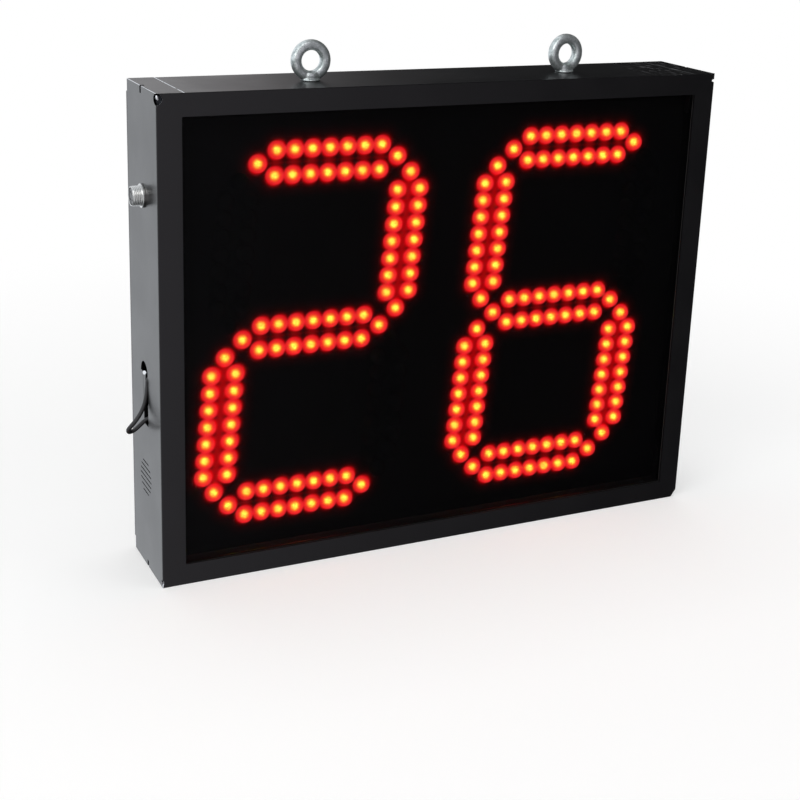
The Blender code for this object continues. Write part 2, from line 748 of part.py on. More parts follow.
def panel_screw_places():
    z = (PANEL_MARGIN + CASE_HEIGHT - BAR_TOP_Z + RAIL_HEIGHT) / 2
    return {"bottom": z, "top": CASE_HEIGHT - z}


def panel_screw_holes(end):
    z = panel_screw_places()[end]
    return rods(
        f"panel_screw_holes_{end}",
        [(sign * PANEL_SCREW_X, RAIL_REAR - 2 * SHEET, z) for sign in (-1, 1)],
        "Y",
        PANEL_REAR - RAIL_REAR + 4 * SHEET,
        PANEL_SCREW_RADIUS + GAP,
        sides=10,
    )


def slanted(u, v):
    """A place in a digit, u across and v up from its middle, with the slant of the digits."""
    return (u + DIGIT_SLANT * v, v)


def segment_leds(letter):
    """Places of a segment's LEDs: one at each end and two even lines between them."""
    across, up, direction = SEGMENTS[letter]
    half = SEGMENT_HALF_LENGTH[direction]
    steps = round(2 * half / LED_PITCH)
    local = [(-half, 0.0), (half, 0.0)]
    for line in (-ROW_SPACING / 2, ROW_SPACING / 2):
        for step in range(1, steps):
            local.append((half * (2 * step / steps - 1), line))
    if direction == "up":
        local = [(line, along) for along, line in local]
    return [slanted(across + u, up + v) for u, v in local]


def segment_outline(letter, margin):
    """Six sided outline that leaves a margin round a segment's LEDs."""
    across, up, direction = SEGMENTS[letter]
    clear = LED_RADIUS + margin
    half_height = ROW_SPACING / 2 + clear
    tip = SEGMENT_HALF_LENGTH[direction] + clear * math.sqrt(2)
    shoulder = tip - half_height
    outline = [
        (tip, 0.0),
        (shoulder, half_height),
        (-shoulder, half_height),
        (-tip, 0.0),
        (-shoulder, -half_height),
        (shoulder, -half_height),
    ]
    if direction == "up":
        outline = [(-line, along) for along, line in outline]
    return [slanted(across + u, up + v) for u, v in outline]


def facing_front(mesh, x, y, z):
    """Stands a mesh made in X and Y up in X and Z, with its thickness along Y."""
    mesh.transform(Matrix.Translation((x, y, z)) @ Matrix.Rotation(math.pi / 2, 4, "X"))
    return mesh


def display_panel(mats):
    edge = RAIL_HALF_LENGTH
    panel = blocks(
        "display_panel",
        [((-edge, PANEL_FRONT, PANEL_MARGIN), (edge, PANEL_REAR, CASE_HEIGHT - PANEL_MARGIN))],
        mats["black_plastic"],
    )
    middle_y = (PANEL_FRONT + PANEL_REAR) / 2
    for side, digit_x in DIGIT_X.items():
        for letter in SEGMENTS:
            name = f"segment_window_{side}_{letter}"
            mesh = outline_mesh(name, segment_outline(letter, WINDOW_MARGIN), 3 * PANEL_THICKNESS)
            facing_front(mesh, digit_x, middle_y, DISPLAY_CENTRE_Z)
            cut(panel, add_object(name, mesh))
    for end in ("top", "bottom"):
        cut(panel, bpy.data.objects[f"panel_screw_holes_{end}"])
    studs = rods(
        "panel_studs",
        [(x, PANEL_REAR - PANEL_THICKNESS / 2, z) for side in DIGIT_X for x, z in board_stud_places(side)],
        "Y",
        PANEL_STUD_LENGTH + PANEL_THICKNESS / 2,
        STUD_RADIUS,
        sides=8,
    )
    fuse(panel, studs)
    for number, (end, sign) in enumerate(
        [(end, sign) for end in ("top", "bottom") for sign in (-1, 1)], start=1
    ):
        screw = pan_head_screw(
            f"panel_screw_{number}", PANEL_SCREW_HEAD_RADIUS, PANEL_SCREW_HEAD_HEIGHT,
            PANEL_SCREW_RADIUS, PANEL_SCREW_LENGTH, mats["zinc_steel"],
        )
        screw.location = (sign * PANEL_SCREW_X, PANEL_REAR + GAP, panel_screw_places()[end])
        screw.rotation_euler = (-math.pi / 2, 0.0, 0.0)


def board_half_size():
    return ((DIGIT_SPACING - BOARD_SPLIT) / 2, DIGIT_HEIGHT / 2 + BOARD_MARGIN_UP)


def board_stud_places(side):
    half_x, half_z = board_half_size()
    from_x = half_x - BOARD_STUD_INSET
    from_z = half_z - BOARD_STUD_INSET
    return [
        (DIGIT_X[side] + sx * from_x, DISPLAY_CENTRE_Z + sz * from_z)
        for sx in (-1, 1)
        for sz in (-1, 1)
    ]


def digit_boards(mats):
    half_x, half_z = board_half_size()
    for side, digit_x in DIGIT_X.items():
        board = blocks(
            f"digit_board_{side}",
            [((digit_x - half_x, BOARD_FRONT, DISPLAY_CENTRE_Z - half_z),
              (digit_x + half_x, BOARD_REAR, DISPLAY_CENTRE_Z + half_z))],
            mats["circuit_board"],
        )
        x, z = ribbon_place(side)["digit"]
        half_length = RIBBON_WIDTH / 2 + HEADER_MARGIN
        fuse(board, blocks(
            f"digit_header_{side}",
            [((x - HEADER_HALF_WIDTH, BOARD_REAR - GAP, z - half_length),
              (x + HEADER_HALF_WIDTH, BOARD_REAR + RIBBON_HEADER_HEIGHT, z + half_length))],
        ))


def led_segments(mats):
    """One strip with its sixteen LEDs for each segment, and the same seven for both digits."""
    overlap = STRIP_THICKNESS / 2
    dome = [
        (LED_RADIUS * math.sin(angle), LED_HEIGHT - LED_DOME * (1 - math.cos(angle)))
        for angle in (0.0, math.pi / 4, math.pi / 2)
    ]
    profile = dome + [(LED_RADIUS, -overlap), (0.0, -overlap)]
    led = baked(turned("led_shape", profile, sides=LED_SIDES))
    for letter in SEGMENTS:
        strip_mesh = outline_mesh(
            f"segment_{letter}", segment_outline(letter, STRIP_MARGIN), STRIP_THICKNESS
        )
        strip_mesh.transform(Matrix.Translation((0.0, 0.0, -STRIP_THICKNESS / 2)))
        strip = add_object(f"segment_{letter}_strip", strip_mesh)
        bm = bmesh.new()
        for u, v in segment_leds(letter):
            first = len(bm.verts)
            bm.from_mesh(led)
            bm.verts.ensure_lookup_table()
            bmesh.ops.translate(bm, verts=bm.verts[first:], vec=(u, v, 0.0))
        domes = add_object(f"segment_{letter}_leds", mesh_from(bm, f"segment_{letter}_leds"))
        fuse(strip, domes)
        mesh = baked(strip)
        bpy.data.objects.remove(domes)
        mesh.transform(Matrix.Rotation(math.pi / 2, 4, "X"))
        for side, digit_x in DIGIT_X.items():
            lit = letter in LIT_SEGMENTS[side]
            segment = add_object(f"segment_{side}_{letter}", mesh, mats["led_lit" if lit else "led_dark"])
            segment.location = (digit_x, STRIP_FRONT, DISPLAY_CENTRE_Z)


def eyebolts(mats):
    bar = blocks(
        "eyebolt_bar",
        [((EYE_MIDDLE_X - BAR_HALF_LENGTH, EYE_Y - BAR_HALF_DEPTH, BAR_BOTTOM_Z),
          (EYE_MIDDLE_X + BAR_HALF_LENGTH, EYE_Y + BAR_HALF_DEPTH, BAR_TOP_Z))],
        mats["plain_steel"],
    )
    cut(bar, bpy.data.objects["eyebolt_holes"])
    for side, sign in (("left", -1), ("right", 1)):
        x = EYE_MIDDLE_X + sign * EYE_X
        bottom = NUT_BOTTOM_Z - SHANK_PAST_NUT - CASE_HEIGHT
        shank = turned(
            f"eyebolt_{side}",
            [
                (0.0, EYE_COLLAR_HEIGHT),
                (EYE_COLLAR_TOP_RADIUS, EYE_COLLAR_HEIGHT),
                (EYE_COLLAR_RADIUS, EYE_COLLAR_EDGE),
                (EYE_COLLAR_RADIUS, GAP),
                (EYE_SHANK_RADIUS, GAP),
                (EYE_SHANK_RADIUS, bottom),
                (0.0, bottom),
            ],
            mats["zinc_steel"],
        )
        shank.location = (x, EYE_Y, CASE_HEIGHT)
        shank.rotation_euler = (0.0, 0.0, math.radians(EYE_TURN_DEGREES[side]))
        bpy.ops.mesh.primitive_torus_add(
            major_segments=24,
            minor_segments=10,
            major_radius=EYE_RING_RADIUS,
            minor_radius=EYE_SECTION_RADIUS,
        )
        ring_mesh = baked(bpy.context.active_object)
        turn = Matrix.Rotation(math.radians(EYE_TURN_DEGREES[side]), 4, "Z")
        ring_mesh.transform(
            Matrix.Translation((x, EYE_Y, EYE_CENTRE_Z)) @ turn @ Matrix.Rotation(math.pi / 2, 4, "X")
        )
        fuse(shank, add_object(f"eyebolt_ring_{side}", ring_mesh))
        nut = rods(
            f"eyebolt_nut_{side}",
            [(x, EYE_Y, NUT_BOTTOM_Z)],
            "Z",
            NUT_HEIGHT,
            NUT_ACROSS_FLATS / math.sqrt(3),
            mats["zinc_steel"],
            sides=6,
        )
        cut(nut, bpy.data.objects["eyebolt_holes"])


def socket_hole():
    return rods(
        "socket_hole",
        [(-HALF_WIDTH - SHEET, SOCKET_Y, SOCKET_Z)],
        "X",
        3 * SHEET,
        SOCKET_HOLE_RADIUS,
        sides=24,
    )


def supply_socket(mats):
    """Everything here is turned about Z with the outside up, then laid along -X."""
    outside = SOCKET_PROTRUSION
    tail = -SHEET - SOCKET_TAIL
    shell = turned(
        "supply_socket_shell",
        [
            (SOCKET_BORE_RADIUS, outside),
            (SOCKET_THREAD_RADIUS, outside),
            (SOCKET_THREAD_RADIUS, GAP + SOCKET_FLANGE_THICKNESS),
            (SOCKET_FLANGE_RADIUS, GAP + SOCKET_FLANGE_THICKNESS),
            (SOCKET_FLANGE_RADIUS, GAP),
            (SOCKET_THREAD_RADIUS, GAP),
            (SOCKET_THREAD_RADIUS, tail),
            (SOCKET_BORE_RADIUS, tail),
        ],
        mats["chrome"],
        closed=True,
    )
    insert_radius = SOCKET_BORE_RADIUS - GAP
    insert_top = outside - INSERT_RECESS
    insert = turned(
        "supply_socket_insert",
        [
            (0.0, insert_top),
            (insert_radius, insert_top),
            (insert_radius, tail - INSERT_TAIL),
            (0.0, tail - INSERT_TAIL),
        ],
        mats["black_plastic"],
    )
    contacts = rods(
        "socket_contacts",
        [(CONTACT_CIRCLE * math.cos(a), CONTACT_CIRCLE * math.sin(a), insert_top - CONTACT_DEPTH)
         for a in (math.tau * (i + 0.5) / CONTACTS for i in range(CONTACTS))],
        "Z",
        2 * CONTACT_DEPTH,
        CONTACT_RADIUS,
        sides=8,
    )
    cut(insert, contacts)
    washer_top = -SHEET - GAP
    washer = turned(
        "supply_socket_washer",
        ring_profile(
            SOCKET_HOLE_RADIUS, SOCKET_WASHER_RADIUS, washer_top - SOCKET_WASHER_THICKNESS, washer_top
        ),
        mats["zinc_steel"],
        closed=True,
    )
    nut_top = washer_top - SOCKET_WASHER_THICKNESS - GAP
    nut = rods(
        "supply_socket_nut",
        [(0.0, 0.0, nut_top - SOCKET_NUT_HEIGHT)],
        "Z",
        SOCKET_NUT_HEIGHT,
        SOCKET_NUT_CORNER_RADIUS,
        mats["chrome"],
        sides=6,
    )
    nut_bore = rods(
        "socket_nut_bore", [(0.0, 0.0, tail)], "Z", SOCKET_TAIL, SOCKET_HOLE_RADIUS, sides=24
    )
    cut(nut, nut_bore)
    for obj in (shell, insert, contacts, washer, nut, nut_bore):
        obj.location = (-HALF_WIDTH, SOCKET_Y, SOCKET_Z)
        obj.rotation_euler = (0.0, -math.pi / 2, 0.0)


def side_cutter(name, outline):
    """A cutter through the left end panel whose outline is given as Y and Z."""
    mesh = outline_mesh(name, [(y, z) for y, z in outline], 4 * SHEET)
    turn = Matrix(((0, 0, 1, -HALF_WIDTH), (1, 0, 0, 0), (0, 1, 0, 0), (0, 0, 0, 1)))
    mesh.transform(turn)
    return add_object(name, mesh)


def lead_slot():
    """A tall band with a wider round head. A tongue of the panel is left behind the band."""
    outline = [(SLOT_FRONT_Y, SLOT_BOTTOM_Z)]
    outline += [(SLOT_BAND_REAR_Y, SLOT_BOTTOM_Z), (SLOT_BAND_REAR_Y, SLOT_ARCH_Z)]
    for step in range(SLOT_ARCH_STEPS + 1):
        angle = math.pi * step / SLOT_ARCH_STEPS
        y = SLOT_ARCH_Y + SLOT_ARCH_RADIUS * math.cos(angle)
        outline.append((y, SLOT_ARCH_Z + SLOT_ARCH_RADIUS * math.sin(angle)))
    return side_cutter("lead_slot", outline)


def buzzer_grille():
    boxes = []
    for i in range(GRILLE_SLOTS):
        offset = (i - (GRILLE_SLOTS - 1) / 2) * GRILLE_PITCH
        half = math.sqrt(GRILLE_RADIUS**2 - offset**2)
        z = BUZZER_Z + offset
        boxes.append((
            (-HALF_WIDTH - SHEET, BUZZER_Y - half, z - GRILLE_SLOT_HEIGHT / 2),
            (-HALF_WIDTH + 2 * SHEET, BUZZER_Y + half, z + GRILLE_SLOT_HEIGHT / 2),
        ))
    return blocks("buzzer_grille", boxes)


def buzzer(mats):
    """Turned about Z with the sounding face up, then laid along -X behind the grille."""
    ring = turned(
        "buzzer_ring",
        ring_profile(BUZZER_RADIUS - BUZZER_RING_WALL, BUZZER_RADIUS, -GAP - BUZZER_RING_THICKNESS, -GAP),
        mats["black_foam"],
        closed=True,
    )
    top = -2 * GAP - BUZZER_RING_THICKNESS
    body = turned(
        "buzzer",
        [
            (0.0, top),
            (BUZZER_RADIUS, top),
            (BUZZER_RADIUS, top - BUZZER_RIM_HEIGHT),
            (BUZZER_CAN_RADIUS, top - BUZZER_RIM_HEIGHT - BUZZER_STEP_HEIGHT),
            (BUZZER_CAN_RADIUS, top - BUZZER_HEIGHT),
            (0.0, top - BUZZER_HEIGHT),
        ],
        mats["black_plastic"],
    )
    for obj in (ring, body):
        obj.location = (-PANEL_INNER_X, BUZZER_Y, BUZZER_Z)
        obj.rotation_euler = (0.0, -math.pi / 2, 0.0)


def rear_stud_places():
    places = []
    for x, z, width, height in BOARDS.values():
        for sx in (-1, 1):
            for sz in (-1, 1):
                places.append((x + sx * (width / 2 - STUD_INSET), z + sz * (height / 2 - STUD_INSET)))
    return places


def ribbon_place(side):
    """Where a ribbon cable meets the digit board and the control board, as x and z."""
    sign = -1 if side == "left" else 1
    return {
        "digit": (sign * (HEADER_X + RIBBON_SHIFT), CONTROL_Z),
        "control": (sign * HEADER_X, CONTROL_Z),
    }


def electronics(mats):
    for name, (x, z, width, height) in BOARDS.items():
        board = blocks(
            name,
            [((x - width / 2, REAR_BOARD_FRONT, z - height / 2),
              (x + width / 2, REAR_BOARD_BACK, z + height / 2))],
            mats["circuit_board"],
        )
        parts = [
            ((x + u - w / 2, REAR_BOARD_FRONT - proud, z + v - h / 2),
             (x + u + w / 2, REAR_BOARD_FRONT + BOARD_THICKNESS / 2, z + v + h / 2))
            for u, v, w, h, proud in COMPONENTS[name]
        ]
        fuse(board, blocks(f"{name}_components", parts))


def header_face(board):
    """Middle of the front face of the header on a rear board that a lead plugs into."""
    x, z, _, _ = BOARDS[board]
    u, v, _, _, proud = COMPONENTS[board][LEAD_HEADER]
    return Vector((x + u, REAR_BOARD_FRONT - proud, z + v))


def supply_lead(mats):
    start = Vector((INSERT_REAR_X + GAP, SOCKET_Y, SOCKET_Z))
    end = header_face("power_module") - Vector((0.0, GAP, 0.0))
    tube(
        "supply_lead",
        [
            start,
            start + Vector((LEAD_STRAIGHT, 0.0, 0.0)),
            start + Vector((0.020, 0.0005, -0.003)),
            Vector((end.x - 0.012, 0.001, end.z + 0.005)),
            Vector((end.x - 0.003, end.y - 0.009, end.z + 0.001)),
            end - Vector((0.0, 0.0045, 0.0)),
            end,
        ],
        SUPPLY_LEAD_RADIUS,
        mats["lead_black"],
    )


def buzzer_lead(mats):
    depth = 2 * GAP + BUZZER_RING_THICKNESS + BUZZER_HEIGHT
    start = Vector((-PANEL_INNER_X + depth + GAP, BUZZER_Y, BUZZER_Z))
    end = header_face("control_board") - Vector((0.0, GAP, 0.0))
    tube(
        "buzzer_lead",
        [
            start,
            start + Vector((LEAD_STRAIGHT, 0.0, 0.0)),
            start + Vector((0.040, 0.002, -0.004)),
            Vector(((start.x + end.x) / 2, 0.006, 0.066)),
            Vector((end.x - 0.030, 0.005, end.z - 0.006)),
            Vector((end.x - 0.009, 0.003, end.z - 0.001)),
            Vector((end.x - 0.001, end.y - 0.006, end.z)),
            end,
        ],
        BUZZER_LEAD_RADIUS,
        mats["lead_black"],
    )


def ribbon_cables(mats):
    """Each runs straight out of its header, sideways and straight into the other header."""
    for side in DIGIT_X:
        place = ribbon_place(side)
        x0, z = place["digit"]
        x1 = place["control"][0]
        y0 = BOARD_REAR + RIBBON_HEADER_HEIGHT + GAP
        y1 = REAR_BOARD_FRONT - HEADER_HEIGHT - GAP
        middle = (x0 + x1) / 2
        route = smooth_route(
            [
                (x0, y0, z),
                (x0, y0 + RIBBON_STRAIGHT, z),
                (middle, (y0 + y1) / 2, z),
                (x1, y1 - RIBBON_STRAIGHT, z),
                (x1, y1, z),
            ],
            RIBBON_STEP,
        )
        bm = bmesh.new()
        rows = []
        for place in route:
            low = bm.verts.new((place.x, place.y, z - RIBBON_WIDTH / 2))
            high = bm.verts.new((place.x, place.y, z + RIBBON_WIDTH / 2))
            rows.append((low, high))
        for (a, b), (c, d) in zip(rows, rows[1:]):
            bm.faces.new((a, b, d, c))
        name = f"ribbon_cable_{side}"
        ribbon = add_object(name, mesh_from(bm, name), mats["ribbon_grey"])
        skin = ribbon.modifiers.new("thickness", "SOLIDIFY")
        skin.thickness = RIBBON_THICKNESS
        skin.offset = 0.0


def antenna_route():
    """Out of the slot, down in a loop and back in to the anchor, as places from the slot's foot."""
    start = header_face("radio_receiver") - Vector((0.0, GAP, 0.0))
    end = Vector((-PANEL_INNER_X + ANTENNA_END_IN, ANCHOR_Y - GAP, ANCHOR_Z))
    foot = Vector((-HALF_WIDTH, SLOT_FRONT_Y, SLOT_BOTTOM_Z))
    loop = [
        (0.0215, 0.0101, 0.0240),
        (0.0170, 0.0061, 0.0225),
        (0.0100, 0.0041, 0.0205),
        (0.0006, 0.0033, 0.0165),
        (-0.0050, 0.0031, 0.0105),
        (-0.0093, 0.0035, 0.0040),
        (-0.0111, 0.0049, -0.0012),
        (-0.0098, 0.0071, -0.0043),
        (-0.0060, 0.0079, -0.0034),
        (0.0003, 0.0069, 0.0022),
        (0.0060, 0.0065, 0.0043),
        (0.0095, 0.0085, 0.0050),
    ]
    route = [start, start - Vector((0.0, ANTENNA_STRAIGHT, 0.0))]
    route += [foot + Vector(place) for place in loop]
    route += [end - Vector((0.0, ANTENNA_STRAIGHT, 0.0)), end]
    return route


def antenna_lead(mats):
    tube("antenna_lead", antenna_route(), ANTENNA_LEAD_RADIUS, mats["lead_black"])
    inner_x = -PANEL_INNER_X + GAP
    low_z = ANCHOR_Z - ANCHOR_HEIGHT / 2
    blocks(
        "antenna_lead_anchor",
        [((inner_x, ANCHOR_Y, low_z),
          (inner_x + ANCHOR_WIDTH, ANCHOR_Y + ANCHOR_DEPTH, low_z + ANCHOR_HEIGHT))],
        mats["black_plastic"],
    )


def shade_round_pieces():
    for obj in PARTS.objects:
        if obj.type == "MESH":
            obj.data.shade_smooth()
            obj.data.set_sharp_from_angle(angle=math.radians(35))


def main():
    start_scene()
    mats = make_materials()
    case(mats)
    cover_screws(mats)
    corner_cleats(mats)
    front_window(mats)
    display_panel(mats)
    digit_boards(mats)
    led_segments(mats)
    eyebolts(mats)
    supply_socket(mats)
    buzzer(mats)
    electronics(mats)
    supply_lead(mats)
    buzzer_lead(mats)
    ribbon_cables(mats)
    antenna_lead(mats)
    shade_round_pieces()


main()
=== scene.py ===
"""Looks of the LED lap counter: paint, smoked window, lit LEDs, zinc eyebolts, socket and lead."""

import json
import math

import bmesh
import bpy
from mathutils import Matrix, Vector


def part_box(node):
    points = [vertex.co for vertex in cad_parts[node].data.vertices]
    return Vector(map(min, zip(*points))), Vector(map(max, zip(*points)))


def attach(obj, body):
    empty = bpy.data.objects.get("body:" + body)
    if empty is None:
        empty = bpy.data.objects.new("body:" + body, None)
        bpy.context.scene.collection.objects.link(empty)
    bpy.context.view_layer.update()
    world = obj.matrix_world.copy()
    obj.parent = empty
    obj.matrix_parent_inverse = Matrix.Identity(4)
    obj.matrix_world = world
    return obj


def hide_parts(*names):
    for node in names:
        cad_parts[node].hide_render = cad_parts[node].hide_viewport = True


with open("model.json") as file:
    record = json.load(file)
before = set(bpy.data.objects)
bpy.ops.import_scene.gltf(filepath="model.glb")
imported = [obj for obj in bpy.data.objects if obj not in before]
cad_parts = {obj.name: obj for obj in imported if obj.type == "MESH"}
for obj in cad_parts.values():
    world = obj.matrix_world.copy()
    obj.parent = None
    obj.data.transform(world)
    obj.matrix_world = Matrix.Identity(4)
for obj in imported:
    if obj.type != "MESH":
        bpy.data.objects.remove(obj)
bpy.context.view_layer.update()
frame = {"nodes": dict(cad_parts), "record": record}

# The CAD case
CASE_LOW, CASE_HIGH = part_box("front_frame")
HALF_WIDTH = CASE_HIGH.x
FRONT, REAR = CASE_LOW.y, CASE_HIGH.y
TOP = CASE_HIGH.z

# Photograph's camera
VIEW_AZIMUTH = -25.84
VIEW_ELEVATION = 16.73
VIEW_ROLL = 2.0
VIEW_DISTANCE = 0.9407
VIEW_TARGET = (-0.0205, 0.0, 0.1574)
VIEW_FOCAL_PX = 1472.5
PICTURE_PX = 800
AXIS_ABOVE_MIDDLE_PX = 100
SENSOR = 36.0

# Case sheet metal
SHEET = 0.0012
BEND = 0.0005
EDGE = 0.00025
SEAM = 0.0001
SEAM_GROOVE = 0.00030
WORN_SEAM_WIDTH = 0.0006
WORN_FACE_AREA = 0.00001
BEZEL_SIDE = 0.0147
BEZEL_END = 0.0134
OPENING_CORNER_RADIUS = 0.0006
LIP = 0.0163
REAR_FLANGE = 0.020
# Holes at the front edge of each end: reach along side and front, half height, height of the middle
RELIEFS = {
    -1: [(0.0050, 0.0036, 0.0033, 0.2967), (0.0030, 0.0008, 0.0016, 0.0034)],
    1: [(0.0040, 0.0020, 0.0010, 0.2953)],
}
SNIP_ACROSS = 0.0042
SNIP_UP = 0.0058
SNIP_DEPTH = 0.0030
TAB_THICKNESS = 0.0008
TAB_HEIGHT = 0.0090
TAB_REACH = 0.0060
TAB_FOLD = 2.2 * TAB_THICKNESS
WELD_RADIUS = 0.0008
WELD_LEAN_DEGREES = 14.0
NOTCH_FRONT_Y = 0.0
NOTCH_WIDTH = 0.0028
NOTCH_HEIGHT = 0.0042
COVER_EDGE = 0.0006
STUD_RADIUS = 0.003
STUD_INSET = 0.005
CUT_PAST = 0.010

# Cover screws
SCREW_INSET_ACROSS = 0.0128
SCREW_INSET_UP = 0.0051
SCREW_HOLE_RADIUS = 0.0021
SCREW_HEAD_RADIUS = 0.0039
SCREW_HEAD_HEIGHT = 0.0024
SCREW_SHANK_RADIUS = 0.0017
SCREW_LENGTH = 0.008
SCREW_TIP_LENGTH = 0.0008
SCREW_DOME_SHARE = 0.65
SCREW_ROUNDING = 0.0001
TURN_BETWEEN_SCREWS_DEGREES = 37.0
CROSS_WIDTH = 0.0009
CROSS_REACH = 0.0023
CROSS_DEPTH = 0.0013

# Slot, grille and socket hole in the left end panel
SLOT_BOTTOM_Z = 0.095
SLOT_FRONT_Y = -0.0043
SLOT_BAND_WIDTH = 0.009
SLOT_ARCH_RADIUS = 0.0072
SLOT_ARCH_Z = 0.1275
# Tongue of sheet left in the slot, as Y and Z, and its bare tip
TONGUE = [
    (0.0052, 0.1098), (0.0052, 0.1275), (0.0002, 0.1275), (0.0006, 0.1250), (0.0016, 0.1202),
    (0.0034, 0.1150),
]
TONGUE_TIP = (0.0024, 0.1277)
TONGUE_TIP_SIZE = (0.0005, 0.0038, 0.0013)
TONGUE_TIP_TURN_DEGREES = -18.0
GRILLE_Y = 0.003
GRILLE_Z = 0.0596
GRILLE_RADIUS = 0.0115
GRILLE_SLOTS = 7
GRILLE_SLOT_HEIGHT = 0.0008

# Supply socket
SOCKET_Y = 0.0
SOCKET_Z = 0.2367
SOCKET_THREAD_RADIUS = 0.006
SOCKET_BORE_RADIUS = 0.005
SOCKET_HOLE_CLEARANCE = 0.0003
SOCKET_SHORTER_THAN_CAD = 0.0014
FLANGE_SMALLER_THAN_CAD = 0.0004
FLANGE_THICKNESS = 0.0013
MOUTH_ROUNDING = 0.0003
FLANGE_ROUNDING = 0.0002
THREAD_PITCH = 0.001
THREAD_DEPTH = 0.0005
THREAD_ROWS = 10
INSERT_RECESS = 0.0004
CONTACTS = 4
CONTACT_CIRCLE_RADIUS = 0.0028
CONTACT_RADIUS = 0.0007
CONTACT_DEPTH = 0.004
KEY_WIDTH = 0.0012
KEY_DEPTH = 0.0008
KEY_LENGTH = 0.003

# LEDs
ROW_SPACING = 0.0152
LED_PITCH = 0.011
DIGIT_SLANT = 0.085
CAD_STRIP_MARGIN = 0.0052
LENS_CENTRE_Y = -0.0165
LENS_SUNK = 0.0002
# From the lens in to the die: radius, light that the layer adds, opacity
LED_LAYERS = [
    (0.0054, (0.84, 0.020, 0.028), 0.45),
    (0.0043, (0.94, 0.070, 0.018), 0.40),
    (0.0033, (1.30, 0.56, 0.0), 0.35),
    (0.0025, (1.50, 2.90, 0.24), 0.35),
    (0.0017, (0.90, 3.80, 0.32), 1.0),
]
POTTING_Y = -0.0152
POTTING_MARGIN = 0.00485
STRIP_REAR_Y = -0.0111
# Rings and sides of the outer lens and of the layers in it
LENS_FACETS = (14, 28)
INNER_FACETS = (8, 18)
LIT = {"left": "abged", "right": "afgcde"}

# Eyebolts
EYE_RING_RADIUS = 0.0092
EYE_SECTION_RADIUS = 0.0031
EYE_SECTION_SQUARENESS = 2.7
EYE_BELOW_CAD_TOP = 0.0007
EYE_HOLE_RADIUS = 0.0033
EYE_SHANK_RADIUS = 0.003
EYE_SHANK_INTO_NECK = 0.003
COLLAR_RADIUS = 0.0058
COLLAR_HEIGHT = 0.0011
COLLAR_ROUNDING = 0.0002
# Neck as radius and height over the case, before its depth is narrowed
NECK = [
    (0.0, 0.0050), (0.0046, 0.0050), (0.0053, 0.0044), (0.0057, 0.0032), (0.0057, 0.0008), (0.0, 0.0008),
]
NECK_DEPTH_SHARE = 0.72
FORGING_VOXEL = 0.00028
EYE_TURN_DEGREES = {"left": 0.0, "right": 5.0}

# Antenna lead. Its upper half lies higher in the slot than the CAD model's, as in the photograph
LEAD_RADIUS = 0.0013
LEAD_STEP = 0.001
LEAD_STEPS_BETWEEN_PLACES = 24
LEAD_ROUTE = [
    (-0.1630, 0.0130, 0.1200), (-0.1630, 0.0101, 0.1200), (-0.1665, 0.0062, 0.1212),
    (-0.1720, 0.0010, 0.1245), (-0.1785, -0.0018, 0.1266), (-0.1842, -0.0028, 0.1266),
    (-0.1871, -0.0029, 0.1243), (-0.1874, -0.0027, 0.1195), (-0.1881, -0.0024, 0.1144),
    (-0.1893, -0.0021, 0.1090), (-0.1914, -0.0018, 0.1040), (-0.1945, -0.0014, 0.0992),
    (-0.1972, -0.0008, 0.0958), (-0.1986, 0.0006, 0.0930), (-0.1973, 0.0028, 0.0907),
    (-0.1935, 0.0036, 0.0916), (-0.1872, 0.0026, 0.0972), (-0.1815, 0.0022, 0.0993),
    (-0.1780, 0.0042, 0.1000), (-0.1770, 0.0052, 0.1000), (-0.1770, 0.0081, 0.1000),
]


def add_object(name, data):
    obj = bpy.data.objects.new(name, data)
    bpy.context.scene.collection.objects.link(obj)
    return obj


def rotation(degrees, axis):
    return Matrix.Rotation(math.radians(degrees), 4, axis)


# Camera

def make_camera():
    data = bpy.data.cameras.new("camera")
    data.sensor_width = SENSOR
    data.lens = VIEW_FOCAL_PX / PICTURE_PX * SENSOR
    data.shift_y = -AXIS_ABOVE_MIDDLE_PX / PICTURE_PX
    camera = add_object("camera", data)
    turn = rotation(VIEW_AZIMUTH, "Z") @ rotation(90.0 - VIEW_ELEVATION, "X") @ rotation(VIEW_ROLL, "Z")
    back = Matrix.Translation((0.0, 0.0, VIEW_DISTANCE))
    camera.matrix_world = Matrix.Translation(VIEW_TARGET) @ turn @ back
    bpy.context.scene.camera = camera


make_camera()


# Shader helpers

class Nodes:
    """A node tree, with short calls for the nodes used here."""

    def __init__(self, tree):
        self.tree = tree

    def node(self, kind, **values):
        node = self.tree.nodes.new("ShaderNode" + kind)
        for name, value in values.items():
            setattr(node, name, value)
        return node

    def feed(self, socket, value):
        if isinstance(value, bpy.types.NodeSocket):
            self.tree.links.new(value, socket)
        elif value is not None:
            socket.default_value = value

    def fed(self, kind, *values, **settings):
        """The first output of a node whose inputs take these values in order."""
        node = self.node(kind, **settings)
        for socket, value in zip(node.inputs, values):
            self.feed(socket, value)
        return node.outputs[0]

    def math(self, operation, *values):
        return self.fed("Math", *values, operation=operation)

    def split(self, vector):
        node = self.node("SeparateXYZ")
        self.feed(node.inputs[0], vector)
        return node.outputs

    def spread(self, value, low, high, to_low=0.0, to_high=1.0):
        return self.fed("MapRange", value, low, high, to_low, to_high, interpolation_type="SMOOTHSTEP")

    def ramp(self, value, *stops):
        node = self.node("ValToRGB")
        elements = node.color_ramp.elements
        while len(elements) < len(stops):
            elements.new(0.5)
        for element, (place, colour) in zip(elements, stops):
            element.position = place
            element.color = (*colour, 1.0)
        self.feed(node.inputs["Fac"], value)
        return node.outputs["Color"]


